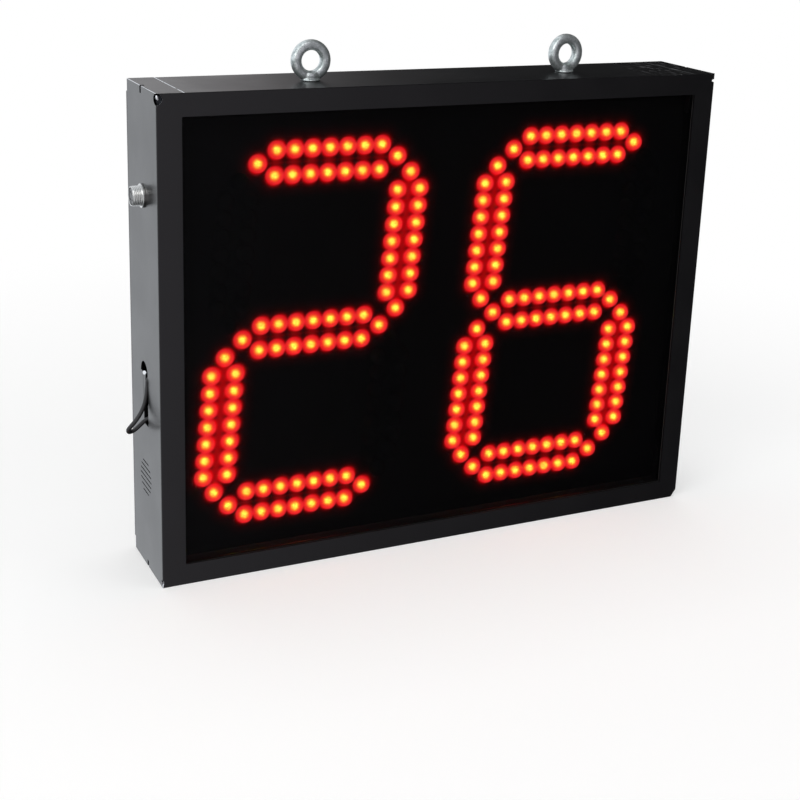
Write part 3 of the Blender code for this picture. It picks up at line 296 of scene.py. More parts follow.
class Shade(Nodes):
    """A material with a Principled BSDF."""

    def __init__(self, name):
        self.material = bpy.data.materials.new(name)
        self.material.use_nodes = True
        super().__init__(self.material.node_tree)
        self.shader = self.tree.nodes["Principled BSDF"]
        self.coord = self.node("TexCoord").outputs["Object"]

    def set(self, **values):
        for name, value in values.items():
            self.feed(self.shader.inputs[name.replace("_", " ")], value)

    def stretched(self, scale):
        return self.fed("Mapping", self.coord, None, None, scale)

    def noise(self, scale, detail=3.0, roughness=0.55, vector=None):
        return self.fed("TexNoise", vector or self.coord, None, scale, detail, roughness)

    def uneven(self, noise, low, high):
        """A value that a noise moves between two others."""
        return self.spread(noise, 0.3, 0.7, low, high)

    def mix(self, factor, first, second):
        node = self.node("Mix", data_type="RGBA")
        self.feed(node.inputs["Factor"], factor)
        for socket, colour in ((node.inputs[6], first), (node.inputs[7], second)):
            self.feed(socket, (*colour, 1.0) if isinstance(colour, tuple) else colour)
        return node.outputs[2]

    def bump(self, height, distance, strength):
        node = self.node("Bump")
        node.inputs["Distance"].default_value = distance
        node.inputs["Strength"].default_value = strength
        self.feed(node.inputs["Height"], height)
        self.feed(self.shader.inputs["Normal"], node.outputs["Normal"])


# Materials

SCUFFS_FROM_X = 0.128
SCUFFS_FULL_X = 0.160
SCUFFS_BELOW_TOP = 0.0006


def top_scuffs(shade):
    """Light streaks from back to front near the right end of the top."""
    x, _, z = shade.split(shade.coord)
    on_top = shade.spread(z, TOP - SCUFFS_BELOW_TOP, TOP - SCUFFS_BELOW_TOP / 3)
    to_right = shade.spread(x, SCUFFS_FROM_X, SCUFFS_FULL_X)
    lines = shade.noise(420.0, 2.0, 0.5, shade.stretched((1.0, 0.16, 1.0)))
    breaks = shade.spread(shade.noise(110.0, 4.0, 0.7), 0.43, 0.56)
    streaks = shade.math("MULTIPLY", shade.spread(lines, 0.53, 0.63), breaks)
    return shade.math("MULTIPLY", shade.math("MULTIPLY", on_top, to_right), streaks)


def powder_coat(name, worn=0.0):
    """Satin black powder coat with a fine texture, faint blotches and a few light rubs."""
    shade = Shade(name)
    grain = shade.noise(1500.0, 2.0)
    blotch = shade.noise(28.0, 4.0)
    rub = shade.noise(34.0, 5.0, 0.7, shade.stretched((1.0, 5.0, 1.0)))
    rubs = shade.spread(rub, 0.70 - worn, 0.84 - worn)
    colour = shade.mix(blotch, (0.0026, 0.0027, 0.0032), (0.0042, 0.0043, 0.0048))
    colour = shade.mix(shade.math("MULTIPLY", rubs, 0.25 + worn), colour, (0.060, 0.062, 0.066))
    colour = shade.mix(top_scuffs(shade), colour, (0.095, 0.095, 0.10))
    rough = shade.uneven(blotch, 0.29, 0.33)
    shade.set(Base_Color=colour, Roughness=rough)
    shade.bump(grain, 0.00003, 0.35)
    return shade.material


def worn_edge():
    """Paint rubbed through to bright steel along an edge."""
    shade = Shade("black_paint_worn")
    wear = shade.spread(shade.noise(160.0, 5.0, 0.7), 0.28, 0.46)
    shade.set(
        Base_Color=shade.mix(wear, (0.02, 0.02, 0.022), (0.62, 0.63, 0.65)),
        Metallic=wear, Roughness=shade.spread(wear, 0.0, 1.0, 0.35, 0.28),
    )
    return shade.material


def smoked_acrylic():
    shade = Shade("smoked_acrylic")
    haze = shade.noise(60.0, 4.0)
    shade.set(
        Base_Color=shade.mix(haze, (0.0022, 0.0022, 0.0025), (0.0034, 0.0033, 0.0036)),
        Roughness=shade.uneven(haze, 0.05, 0.09),
        Alpha=0.5, IOR=1.49, Specular_IOR_Level=0.055,
    )
    return shade.material


def metal(name, colour, rough, grain=900.0, bump=0.00002):
    """Plated steel: slightly uneven colour and polish."""
    shade = Shade(name)
    cloud = shade.noise(120.0, 4.0)
    fine = shade.noise(grain, 3.0)
    darker = tuple(c * 0.82 for c in colour)
    shade.set(
        Base_Color=shade.mix(cloud, darker, colour), Metallic=1.0,
        Roughness=shade.uneven(cloud, rough * 0.8, rough * 1.25),
    )
    shade.bump(fine, bump, 0.5)
    return shade.material


def zinc():
    """Dull zinc plating on a forging: mottled, grainy and darker in patches."""
    shade = Shade("zinc_steel")
    mottle = shade.noise(330.0, 5.0, 0.7)
    patch = shade.noise(90.0, 3.0)
    colour = shade.mix(shade.spread(mottle, 0.35, 0.65), (0.38, 0.42, 0.42), (0.68, 0.73, 0.73))
    colour = shade.mix(shade.spread(patch, 0.45, 0.62, 0.0, 0.45), colour, (0.30, 0.35, 0.34))
    shade.set(Base_Color=colour, Metallic=0.80, Roughness=shade.uneven(mottle, 0.43, 0.30))
    shade.bump(shade.noise(900.0, 4.0, 0.65), 0.00020, 0.8)
    return shade.material


def plastic(name, colour, rough, grain=1800.0, gloss=0.5):
    shade = Shade(name)
    cloud = shade.noise(90.0, 3.0)
    lighter = tuple(c * 1.4 for c in colour)
    shade.set(
        Base_Color=shade.mix(cloud, colour, lighter), Specular_IOR_Level=gloss,
        Roughness=shade.uneven(cloud, rough * 0.9, min(1.0, rough * 1.1)),
    )
    shade.bump(shade.noise(grain, 2.0), 0.00002, 0.4)
    return shade.material


def circuit_board():
    """Green solder mask with darker tracks under it."""
    shade = Shade("circuit_board")
    tracks = shade.fed(
        "TexBrick", shade.coord, (0.012, 0.085, 0.035, 1.0), (0.016, 0.100, 0.042, 1.0),
        (0.006, 0.045, 0.020, 1.0), 220.0, 0.03,
    )
    shade.set(Base_Color=tracks, Roughness=shade.uneven(shade.noise(70.0), 0.32, 0.42))
    return shade.material


def ribbon_grey():
    """Flat cable with a ridge for each wire."""
    shade = Shade("ribbon_grey")
    wires = shade.node("TexWave", wave_type="BANDS", bands_direction="Z")
    shade.feed(wires.inputs["Vector"], shade.coord)
    wires.inputs["Scale"].default_value = 250.0
    shade.set(
        Base_Color=shade.mix(wires.outputs["Fac"], (0.22, 0.22, 0.23), (0.38, 0.38, 0.39)),
        Roughness=shade.uneven(shade.noise(200.0), 0.42, 0.55),
    )
    shade.bump(wires.outputs["Fac"], 0.0003, 0.5)
    return shade.material


# LEDs: where they are, and the painted glow round them

def lit_nodes():
    return [f"segment_{side}_{letter}" for side in LIT for letter in LIT[side]]


def segment_layout(node):
    """Centre, direction, half length and steps of a segment, from its CAD solid."""
    low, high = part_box(node)
    across = node[-1] in "adg"
    reach = (high.x - low.x) / 2 if across else (high.z - low.z) / 2
    half = reach - CAD_STRIP_MARGIN * math.sqrt(2)
    return (low + high) / 2, across, half, round(2 * half / LED_PITCH)


def from_local(centre, across, along, line):
    """World X and Z of a place along a segment and off its middle line."""
    u, v = (along, line) if across else (line, along)
    return centre.x + u + DIGIT_SLANT * v, centre.z + v


def led_places(node):
    centre, across, half, steps = segment_layout(node)
    places = [from_local(centre, across, end, 0.0) for end in (-half, half)]
    for line in (-ROW_SPACING / 2, ROW_SPACING / 2):
        for step in range(1, steps):
            places.append(from_local(centre, across, half * (2 * step / steps - 1), line))
    return places


def led_distances(shade):
    """Distance in X and Z from a point to the nearest lit LED, and to the further row of its segment."""
    calc = shade.math
    x, _, z = shade.split(shade.coord)
    nearest = further = None
    for node in lit_nodes():
        centre, across, half, steps = segment_layout(node)
        pitch = 2 * half / steps
        up = calc("SUBTRACT", z, centre.z + SPILL_SHIFT_Z)
        lean = calc("MULTIPLY_ADD", up, -DIGIT_SLANT, -centre.x - SPILL_SHIFT_X)
        side = calc("ADD", x, lean)
        along, line = (side, up) if across else (up, side)
        steps_on = calc("ROUND", calc("DIVIDE", calc("ADD", along, half), pitch))
        held = calc("MINIMUM", calc("MAXIMUM", steps_on, 1.0), steps - 1.0)
        off_along = calc("SUBTRACT", calc("MULTIPLY_ADD", held, pitch, -half), along)
        off_line = calc("SUBTRACT", calc("ABSOLUTE", line), ROW_SPACING / 2)
        off_end = calc("SUBTRACT", calc("ABSOLUTE", along), half)
        to_other = calc("ADD", calc("ABSOLUTE", line), ROW_SPACING / 2)
        far = calc("MULTIPLY_ADD", off_along, off_along, calc("MULTIPLY", to_other, to_other))
        if across:
            far = calc("MULTIPLY", far, LEVEL_ROW_SPREAD**2)
        further = far if further is None else calc("MINIMUM", further, far)
        for a, b in ((off_along, off_line), (off_end, line)):
            square = calc("MULTIPLY_ADD", a, a, calc("MULTIPLY", b, b))
            nearest = square if nearest is None else calc("MINIMUM", nearest, square)
    return calc("SQRT", nearest), calc("SQRT", further)


# Painted red glow on the black round the lenses, standing in for the LEDs' light, at each distance from
# the middle of a LED in millimetres
LED_SPILL = [
    (0.0, 0.50), (5.4, 0.50), (5.65, 0.38), (5.95, 0.27), (6.25, 0.18), (6.55, 0.112), (6.85, 0.070),
    (7.15, 0.044), (7.5, 0.030), (7.8, 0.020), (8.1, 0.015), (8.4, 0.011), (9.1, 0.007), (10.3, 0.0035),
    (14.0, 0.0),
]
# More of it between the two rows of a segment, at each distance from the further row
ROW_SPILL = [(0.0, 0.30), (9.4, 0.30), (11.0, 0.19), (12.5, 0.09), (14.0, 0.03), (15.2, 0.0)]
# Level segments have less of it, as if their rows were this much further apart
LEVEL_ROW_SPREAD = 1.5
# The lenses stand in front of the black. This moves their painted glow on it to behind them in the main
# view
SPILL_SHIFT_X = 0.00065
SPILL_SHIFT_Z = -0.00043
SPILL_COLOUR = (1.0, 0.001, 0.004)
# All the light behind the smoked window is this much stronger, for what the window takes away
WINDOW_LOSS = 4.1


def painted_led_glow():
    """Dark plastic with a painted red glow, standing in for the LEDs' light round their lenses."""
    shade = Shade("display_black")
    grain = shade.noise(700.0, 3.0)
    shade.set(
        Base_Color=shade.mix(grain, (0.0030, 0.0028, 0.0030), (0.0045, 0.0042, 0.0045)),
        Specular_IOR_Level=0.05, Roughness=shade.uneven(grain, 0.765, 0.935),
    )
    shade.bump(grain, 0.00003, 0.4)
    lights = []
    for distance, spill in zip(led_distances(shade), (LED_SPILL, ROW_SPILL)):
        reach = spill[-1][0]
        share = shade.math("DIVIDE", distance, reach / 1000)
        lights.append(shade.ramp(share, *[(far / reach, (light,) * 3) for far, light in spill]))
    strength = shade.math("MULTIPLY", shade.math("ADD", *lights), WINDOW_LOSS)
    # Painted glow: emission on the black plastic stands in for the LEDs' light spilling round the lenses
    shade.set(Emission_Color=(*SPILL_COLOUR, 1.0), Emission_Strength=strength)
    return shade.material


def led_layer(name, light, opacity):
    """One layer of a lit LED, from the clear red lens in to the bright die."""
    shade = Shade(name)
    cloud = shade.noise(400.0, 2.0)
    brightest = max(light)
    colour = tuple(part / brightest for part in light)
    body = tuple(0.2 * part for part in colour)
    shade.set(
        Base_Color=shade.mix(cloud, body, tuple(1.2 * part for part in body)),
        Roughness=shade.uneven(cloud, 0.30, 0.42), Specular_IOR_Level=0.1,
        Emission_Color=(*colour, 1.0), Emission_Strength=WINDOW_LOSS * brightest, Alpha=opacity,
    )
    return shade.material


# Places in CASE_MATERIALS
RUBBED, WORN, BARE, INSIDE = 1, 2, 3, 4
CASE_MATERIALS = [
    powder_coat("black_paint"),
    powder_coat("black_paint_rubbed", worn=0.06),
    worn_edge(),
    metal("bare_steel", (0.76, 0.77, 0.79), 0.25),
    plastic("black_inside", (0.006, 0.007, 0.010), 0.7, gloss=0.2),
]
MATERIALS = {
    "smoked_acrylic": smoked_acrylic(),
    "black_foam": plastic("black_foam", (0.012, 0.012, 0.012), 0.92, 700.0),
    "black_plastic": plastic("black_plastic", (0.009, 0.009, 0.010), 0.34),
    "zinc_steel": zinc(),
    "plain_steel": metal("plain_steel", (0.44, 0.44, 0.45), 0.40),
    "chrome": metal("nickel_plate", (0.56, 0.56, 0.55), 0.20, 1400.0, 0.00001),
    "led_dark": plastic("led_dark", (0.0030, 0.0028, 0.0030), 0.85, gloss=0.05),
    "circuit_board": circuit_board(),
    "lead_black": plastic("lead_black", (0.012, 0.012, 0.013), 0.42),
    "ribbon_grey": ribbon_grey(),
    # display_black glows with painted LED light round the lenses
    "display_black": painted_led_glow(),
}
LIT_LAYERS = [
    led_layer(f"led_layer_{number}", light, opacity)
    for number, (_, light, opacity) in enumerate(LED_LAYERS, start=1)
]


# Mesh helpers

def object_of(bm, name):
    bmesh.ops.recalc_face_normals(bm, faces=bm.faces[:])
    mesh = bpy.data.meshes.new(name)
    bm.to_mesh(mesh)
    bm.free()
    return add_object(name, mesh)


def add_box(bm, low, high):
    """A box between two opposite corners, in any order."""
    size = [abs(a - b) for a, b in zip(high, low)]
    middle = (Vector(high) + Vector(low)) / 2
    matrix = Matrix.Translation(middle) @ Matrix.Diagonal((*size, 1.0))
    bmesh.ops.create_cube(bm, size=1.0, matrix=matrix)


def boxes(name, *corners):
    bm = bmesh.new()
    for low, high in corners:
        add_box(bm, low, high)
    return object_of(bm, name)


AXIS_TURN = {
    "X": rotation(90.0, "Y"),
    "Y": rotation(-90.0, "X"),
    "Z": Matrix.Identity(4),
}


def rods(name, starts, axis, length, radius, sides=32, stretch=(1.0, 1.0, 1.0)):
    """Cylinders along an axis. stretch scales each about its own start."""
    bm = bmesh.new()
    for start in starts:
        matrix = (Matrix.Translation(start) @ Matrix.Diagonal((*stretch, 1.0))
                  @ AXIS_TURN[axis] @ Matrix.Translation((0.0, 0.0, length / 2)))
        bmesh.ops.create_cone(
            bm, cap_ends=True, segments=sides, radius1=radius, radius2=radius, depth=length,
            matrix=matrix,
        )
    return object_of(bm, name)


def add_prism(bm, outline, thickness, matrix):
    """A flat outline in X and Y, thickened evenly about Z = 0 and then moved."""
    first = [bm.verts.new((x, y, -thickness / 2)) for x, y in outline]
    grown = bmesh.ops.extrude_face_region(bm, geom=[bm.faces.new(first)])
    second = [v for v in grown["geom"] if isinstance(v, bmesh.types.BMVert)]
    bmesh.ops.translate(bm, verts=second, vec=(0.0, 0.0, thickness))
    bmesh.ops.transform(bm, matrix=matrix, verts=first + second)


def prism(name, outline, thickness, matrix):
    bm = bmesh.new()
    add_prism(bm, outline, thickness, matrix)
    return object_of(bm, name)


def settle(obj):
    """Applies an object's modifiers."""
    graph = bpy.context.evaluated_depsgraph_get()
    graph.update()
    mesh = bpy.data.meshes.new_from_object(obj.evaluated_get(graph))
    obj.modifiers.clear()
    obj.data = mesh


def cut(obj, *cutters, operation="DIFFERENCE"):
    for cutter in cutters:
        modifier = obj.modifiers.new("cut", "BOOLEAN")
        modifier.operation = operation
        modifier.solver = "EXACT"
        modifier.object = cutter
    settle(obj)
    for cutter in cutters:
        bpy.data.objects.remove(cutter)
    return obj


def soften(obj, width, least=40.0, keep=None):
    """Rounds the sharp edges, apart from those whose ends are all kept."""
    bm = bmesh.new()
    bm.from_mesh(obj.data)
    bmesh.ops.remove_doubles(bm, verts=bm.verts[:], dist=1e-6)
    bmesh.ops.dissolve_limit(
        bm, angle_limit=math.radians(0.5), verts=bm.verts[:], edges=bm.edges[:], delimit={"SHARP"}
    )
    sharp = [
        e for e in bm.edges
        if len(e.link_faces) == 2 and e.calc_face_angle(0.0) > math.radians(least)
        and not (keep and all(keep(v.co) for v in e.verts))
    ]
    bmesh.ops.bevel(
        bm, geom=sharp, offset=width, segments=2, profile=0.5, affect="EDGES", clamp_overlap=True,
        material=0,
    )
    bm.to_mesh(obj.data)
    bm.free()


def bevelled_box(name, low, high, radius, picks, segments=5):
    """A box whose edges that picks() names are bent to a radius."""
    bm = bmesh.new()
    add_box(bm, low, high)
    middle = (Vector(low) + Vector(high)) / 2
    edges = [e for e in bm.edges if picks((e.verts[0].co + e.verts[1].co) / 2 - middle)]
    bmesh.ops.bevel(
        bm, geom=edges, offset=radius, segments=segments, profile=0.5, affect="EDGES", material=RUBBED
    )
    return object_of(bm, name)


def wear_edges(obj):
    """Gives bends and softened edges the rubbed paint, and the most worn ones bare metal."""
    for face in obj.data.polygons:
        if max(abs(v) for v in face.normal) > 0.99:
            continue
        x, y, z = face.center
        on_seam = abs(x + SEAM_X) < WORN_SEAM_WIDTH and z > TOP - SHEET
        on_side_edge = abs(x) > HALF_WIDTH - BEND and z > TOP - BEND and face.normal.z > 0.6
        near_end = not SNIP_UP < z < TOP - 8 * SHEET
        at_corner = near_end and abs(x) > HALF_WIDTH - 4 * SHEET and y < FRONT + 6 * SHEET
        worn = on_seam or on_side_edge or at_corner and face.area < WORN_FACE_AREA
        face.material_index = WORN if worn else RUBBED


def paint(obj, number):
    """Gives all faces one of the object's materials."""
    for face in obj.data.polygons:
        face.material_index = number
    return obj


def join(obj, *others):
    """Adds other meshes to an object's, as loose parts of it."""
    bm = bmesh.new()
    for part in (obj, *others):
        bm.from_mesh(part.data)
    bm.to_mesh(obj.data)
    bm.free()
    for part in others:
        bpy.data.objects.remove(part)


def dress(obj, node, slot, materials=None, body="case", smooth=35.0, flat=False):
    """Finishes a piece: its materials, shading, body and CAD node."""
    for material in materials or [MATERIALS[slot]]:
        obj.data.materials.append(material)
    if obj.type == "MESH":
        obj.data.shade_smooth()
        obj.data.set_sharp_from_angle(angle=math.radians(smooth))
        if flat:
            modifier = obj.modifiers.new("flat faces", "WEIGHTED_NORMAL")
            modifier.keep_sharp = True
            modifier.weight = 100
            settle(obj)
    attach(obj, body)
    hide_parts(node)


# The antenna lead, drawn as a curve with a round section

def smooth_route(points, spacing):
    """Points a given distance apart along a smooth curve through the route."""
    knots = [Vector(p) for p in points]
    fine = [knots[0]]
    for a, b, c, d in zip(knots, knots[1:], knots[2:], knots[3:]):
        for step in range(LEAD_STEPS_BETWEEN_PLACES):
            t = step / LEAD_STEPS_BETWEEN_PLACES
            fine.append(0.5 * ((2 * b) + (c - a) * t + (2 * a - 5 * b + 4 * c - d) * t**2
                               + (3 * b - a - 3 * c + d) * t**3))
    fine += [knots[-2], knots[-1]]
    lengths = [0.0]
    for p, q in zip(fine, fine[1:]):
        lengths.append(lengths[-1] + (q - p).length)
    count = round(lengths[-1] / spacing)
    route, place = [], 0
    for i in range(count + 1):
        wanted = lengths[-1] * i / count
        while place < len(lengths) - 2 and lengths[place + 1] < wanted:
            place += 1
        share = (wanted - lengths[place]) / (lengths[place + 1] - lengths[place])
        route.append(fine[place].lerp(fine[place + 1], min(1.0, share)))
    return route, lengths[-1]


def antenna_lead():
    route, length = smooth_route(LEAD_ROUTE, LEAD_STEP)
    curve = bpy.data.curves.new("antenna_lead_cord", "CURVE")
    curve.dimensions = "3D"
    curve.bevel_depth = LEAD_RADIUS
    curve.bevel_resolution = 5
    curve.use_fill_caps = True
    spline = curve.splines.new("POLY")
    spline.points.add(len(route) - 1)
    for point, place in zip(spline.points, route):
        point.co = (*place, 1.0)
    spline.use_smooth = True
    cord = add_object("antenna_lead_cord", curve)
    dress(cord, "antenna_lead", "lead_black")
    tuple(LEAD_ROUTE[0])


antenna_lead()


# Case

SEAM_X = HALF_WIDTH - LIP
PANEL_FRONT = FRONT + SHEET


def on_panel_front(point):
    return abs(point.y - PANEL_FRONT) < 1e-5


def cover_screw_places():
    low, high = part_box("rear_cover")
    x = high.x - SCREW_INSET_ACROSS
    return [(sx, z) for z in (low.z + SCREW_INSET_UP, high.z - SCREW_INSET_UP) for sx in (-x, 0.0, x)]


def cover_screw_cutter():
    starts = [(x, REAR - 3 * SHEET, z) for x, z in cover_screw_places()]
    return rods("screw_holes", starts, "Y", 8 * SHEET, SCREW_HOLE_RADIUS, sides=24)


def relief_cutters(sign, axis):
    """Oval holes where the front and side meet, as they pass through the side (X) or the front (Y)."""
    made = []
    for side, front, half_height, z in RELIEFS[sign]:
        if axis == "X":
            start, length = (sign * HALF_WIDTH - CUT_PAST / 2, FRONT, z), CUT_PAST
            stretch = (1.0, side, half_height)
        else:
            start, length = (sign * HALF_WIDTH, FRONT - CUT_PAST, z), CUT_PAST + 2 * SHEET
            stretch = (front, 1.0, half_height)
        made.append(rods("relief", [start], axis, length, 1.0, 48, stretch))
    return made


def upright(y):
    """Stands an outline up at a depth, with its X and Y as X and Z."""
    return Matrix.Translation((0.0, y, 0.0)) @ rotation(90.0, "X")


def corner_snip():
    """Takes the lower right corner off the front and the side."""
    past = HALF_WIDTH + CUT_PAST
    across = HALF_WIDTH - SNIP_ACROSS
    outline = [
        (HALF_WIDTH, SNIP_UP), (across, 0.0), (across, -CUT_PAST), (past, -CUT_PAST), (past, SNIP_UP)
    ]
    return prism("corner_snip", outline, SNIP_DEPTH + SHEET, upright(FRONT + SNIP_DEPTH / 2))


def seam_grooves():
    """The softened edges of the two sheets along each seam on the top and bottom."""
    made = []
    for x in (-SEAM_X, SEAM_X):
        for z in (0.0, TOP):
            outline = [
                (x - SEAM_GROOVE, z), (x, z - SEAM_GROOVE), (x + SEAM_GROOVE, z), (x, z + SEAM_GROOVE)
            ]
            middle = upright((PANEL_FRONT + REAR) / 2)
            made.append(prism("seam_groove", outline, REAR - PANEL_FRONT + SHEET, middle))
    return made


def front_frame():
    frame_box = bevelled_box(
        "bezel_and_walls", (-HALF_WIDTH, FRONT, 0.0), (HALF_WIDTH, REAR, TOP), BEND,
        lambda p: abs(p.y) > 1e-4 and abs(p.z) > 1e-4 or (p.y < -1e-4 and abs(p.x) > 1e-4),
    )
    past = HALF_WIDTH + CUT_PAST
    inside = boxes("inside", ((-past, FRONT + SHEET, SHEET), (past, REAR - SHEET, TOP - SHEET)))
    rear = boxes("rear_opening", (
        (-past, REAR - 2 * SHEET, REAR_FLANGE), (past, REAR + CUT_PAST, TOP - REAR_FLANGE)))
    ends = boxes("ends", *(
        ((sign * past, PANEL_FRONT, -CUT_PAST),
         (sign * (SEAM_X - SEAM / 2), REAR + CUT_PAST, TOP + CUT_PAST))
        for sign in (-1, 1)
    ))
    opening = bevelled_box(
        "opening", (BEZEL_SIDE - HALF_WIDTH, FRONT - CUT_PAST, BEZEL_END),
        (HALF_WIDTH - BEZEL_SIDE, FRONT + CUT_PAST, TOP - BEZEL_END), OPENING_CORNER_RADIUS,
        lambda p: abs(p.x) > 1e-4 and abs(p.z) > 1e-4,
    )
    starts = [(*eye_place(side).xy, TOP - 2 * SHEET) for side in ("left", "right")]
    eyes = rods("eye_holes", starts, "Z", 4 * SHEET, EYE_HOLE_RADIUS)
    corners = relief_cutters(-1, "Y") + relief_cutters(1, "Y") + [corner_snip()]
    cut(frame_box, inside, rear, ends, opening, cover_screw_cutter(), eyes, *corners, *seam_grooves())
    soften(frame_box, EDGE, keep=on_panel_front)
    wear_edges(frame_box)
    dress(frame_box, "front_frame", "black_paint", CASE_MATERIALS, flat=True)


def slot_outline():
    rear_y = SLOT_FRONT_Y + SLOT_BAND_WIDTH
    points = [(SLOT_FRONT_Y, SLOT_BOTTOM_Z), (rear_y, SLOT_BOTTOM_Z), (rear_y, SLOT_ARCH_Z)]
    for angle in (math.pi * step / 24 for step in range(25)):
        y = SLOT_FRONT_Y + SLOT_ARCH_RADIUS * (1 + math.cos(angle))
        points.append((y, SLOT_ARCH_Z + SLOT_ARCH_RADIUS * math.sin(angle)))
    return points


def grille_outlines():
    pitch = 2 * GRILLE_RADIUS / GRILLE_SLOTS
    radius = GRILLE_SLOT_HEIGHT / 2
    for i in range(GRILLE_SLOTS):
        offset = (i - (GRILLE_SLOTS - 1) / 2) * pitch
        half = math.sqrt(GRILLE_RADIUS**2 - offset**2) - radius
        points = []
        for sign in (1, -1):
            for step in range(9):
                angle = math.pi * (step / 8 - 0.5)
                y = GRILLE_Y + sign * (half + radius * math.cos(angle))
                points.append((y, GRILLE_Z + offset + sign * radius * math.sin(angle)))
        yield points


def side_prism(name, outline, x, thickness):
    """A prism whose outline has Y and Z, and whose middle is at x."""
    turn = Matrix(((0, 0, 1, x), (1, 0, 0, 0), (0, 1, 0, 0), (0, 0, 0, 1)))
    return prism(name, outline, thickness, turn)


def left_end_cutters():
    start = (-HALF_WIDTH - SHEET, SOCKET_Y, SOCKET_Z)
    made = [rods("socket_hole", [start], "X", 3 * SHEET, SOCKET_THREAD_RADIUS + SOCKET_HOLE_CLEARANCE)]
    for outline in (slot_outline(), *grille_outlines()):
        made.append(side_prism("slot", outline, -HALF_WIDTH, 4 * SHEET))
    return made


def end_panel(side, sign):
    outer = bevelled_box(
        f"{side}_wall", (sign * HALF_WIDTH, PANEL_FRONT, 0.0),
        (sign * (SEAM_X + SEAM / 2), REAR, TOP), BEND,
        lambda p: sign * p.x > 1e-4 and (abs(p.z) > 1e-4 or p.y > 1e-4),
    )
    inner_x = sign * (HALF_WIDTH - SHEET)
    hollow = boxes("hollow", (
        (inner_x, FRONT - CUT_PAST, SHEET), (sign * (SEAM_X - CUT_PAST), REAR - SHEET, TOP - SHEET)))
    notches = boxes("notches", *(
        ((sign * (HALF_WIDTH + CUT_PAST), NOTCH_FRONT_Y, low_z),
         (inner_x - sign * SHEET, NOTCH_FRONT_Y + NOTCH_WIDTH, high_z))
        for low_z, high_z in ((-CUT_PAST, NOTCH_HEIGHT), (TOP - NOTCH_HEIGHT, TOP + CUT_PAST))
    ))
    cutters = [hollow, notches, cover_screw_cutter(), *relief_cutters(sign, "X"), *seam_grooves()]
    cutters += left_end_cutters() if side == "left" else [corner_snip()]
    cut(outer, *cutters)
    soften(outer, EDGE, keep=on_panel_front)
    wear_edges(outer)
    join(outer, *corner_tabs(side, sign))
    if side == "left":
        join(outer, *slot_tongue())
    dress(outer, f"{side}_end_panel", "black_paint", CASE_MATERIALS, flat=True)


def bead(name, centre, radii, turn):
    """An egg-shaped lump of bare metal."""
    matrix = Matrix.Translation(centre) @ turn @ Matrix.Diagonal((*radii, 1.0))
    bm = bmesh.new()
    bmesh.ops.create_uvsphere(bm, u_segments=24, v_segments=14, radius=1.0, matrix=matrix)
    return paint(object_of(bm, name), BARE)


def corner_tabs(side, sign):
    """Folded tabs inside the front corners, with a weld bead in the upper one."""
    inner_x, inner_y = sign * (HALF_WIDTH - SHEET - SEAM), FRONT + SHEET + SEAM
    across = [
        (inner_x - sign * in_by, inner_y + back_by)
        for in_by, back_by in (
            (0.0, TAB_REACH), (2 * TAB_THICKNESS, TAB_REACH), (TAB_REACH, TAB_THICKNESS),
            (TAB_REACH, 0.0), (TAB_FOLD, 0.0), (0.0, TAB_FOLD),
        )
    ]
    made = [
        paint(prism(f"tab_{side}", across, TAB_HEIGHT, Matrix.Translation((0.0, 0.0, z))), INSIDE)
        for z in (SHEET + TAB_HEIGHT / 2, TOP - SHEET - TAB_HEIGHT / 2)
    ]
    centre = (inner_x, inner_y + WELD_RADIUS, RELIEFS[sign][0][3] + WELD_RADIUS)
    lean = rotation(sign * WELD_LEAN_DEGREES, "Y")
    made.append(bead(f"weld_{side}", centre, (WELD_RADIUS, WELD_RADIUS, 2 * WELD_RADIUS), lean))
    return made


def slot_tongue():
    """Sheet left standing in the lead slot, with a bare tip that is bent out a little."""
    tongue = side_prism("tongue", TONGUE, SHEET / 2 - HALF_WIDTH, SHEET)
    turn = rotation(TONGUE_TIP_TURN_DEGREES, "X")
    return [tongue, bead("tongue_tip", (-HALF_WIDTH, *TONGUE_TIP), TONGUE_TIP_SIZE, turn)]


def rear_cover():
    low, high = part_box("rear_cover")
    front_y = REAR + SEAM
    plate = bevelled_box(
        "cover_plate", (low.x, front_y, low.z), high, COVER_EDGE,
        lambda p: abs(p.x) > 1e-4 or abs(p.z) > 1e-4, segments=3,
    )
    cut(plate, cover_screw_cutter())
    starts = [(x, low.y, z) for x, z in stud_places()]
    studs = rods("studs", starts, "Y", front_y - low.y + SHEET, STUD_RADIUS, sides=24)
    cut(plate, studs, operation="UNION")
    wear_edges(plate)
    dress(plate, "rear_cover", "black_paint", CASE_MATERIALS, flat=True)


def stud_places():
    places = []
    for node in ("control_board", "power_module", "radio_receiver"):
        low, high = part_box(node)
        for x in (low.x + STUD_INSET, high.x - STUD_INSET):
            places += [(x, z) for z in (low.z + STUD_INSET, high.z - STUD_INSET)]
    return places


def turned(name, profile, sides=48, closed=False):
    """A profile of radius and height turned about Z."""
    bm = bmesh.new()
    verts = [bm.verts.new((radius, 0.0, height)) for radius, height in profile]
    edges = [bm.edges.new(pair) for pair in zip(verts, verts[1:])]
    if closed:
        edges.append(bm.edges.new((verts[-1], verts[0])))
    bmesh.ops.spin(bm, geom=verts + edges, cent=(0, 0, 0), axis=(0, 0, 1), angle=math.tau, steps=sides,
                   use_merge=True)
    bmesh.ops.remove_doubles(bm, verts=bm.verts[:], dist=1e-7)
    return object_of(bm, name)


def place(obj, matrix):
    obj.data.transform(matrix)
    return obj


def screw_profile():
    dome = [
        (SCREW_HEAD_RADIUS * math.sin(a), SCREW_HEAD_HEIGHT * (1 - SCREW_DOME_SHARE * (1 - math.cos(a))))
        for a in (math.pi / 2 * i / 6 for i in range(7))
    ]
    return dome + [
        (SCREW_HEAD_RADIUS, 0.0), (SCREW_SHANK_RADIUS, 0.0),
        (SCREW_SHANK_RADIUS, SCREW_TIP_LENGTH - SCREW_LENGTH), (SCREW_SHANK_RADIUS / 2, -SCREW_LENGTH),
        (0.0, -SCREW_LENGTH),
    ]


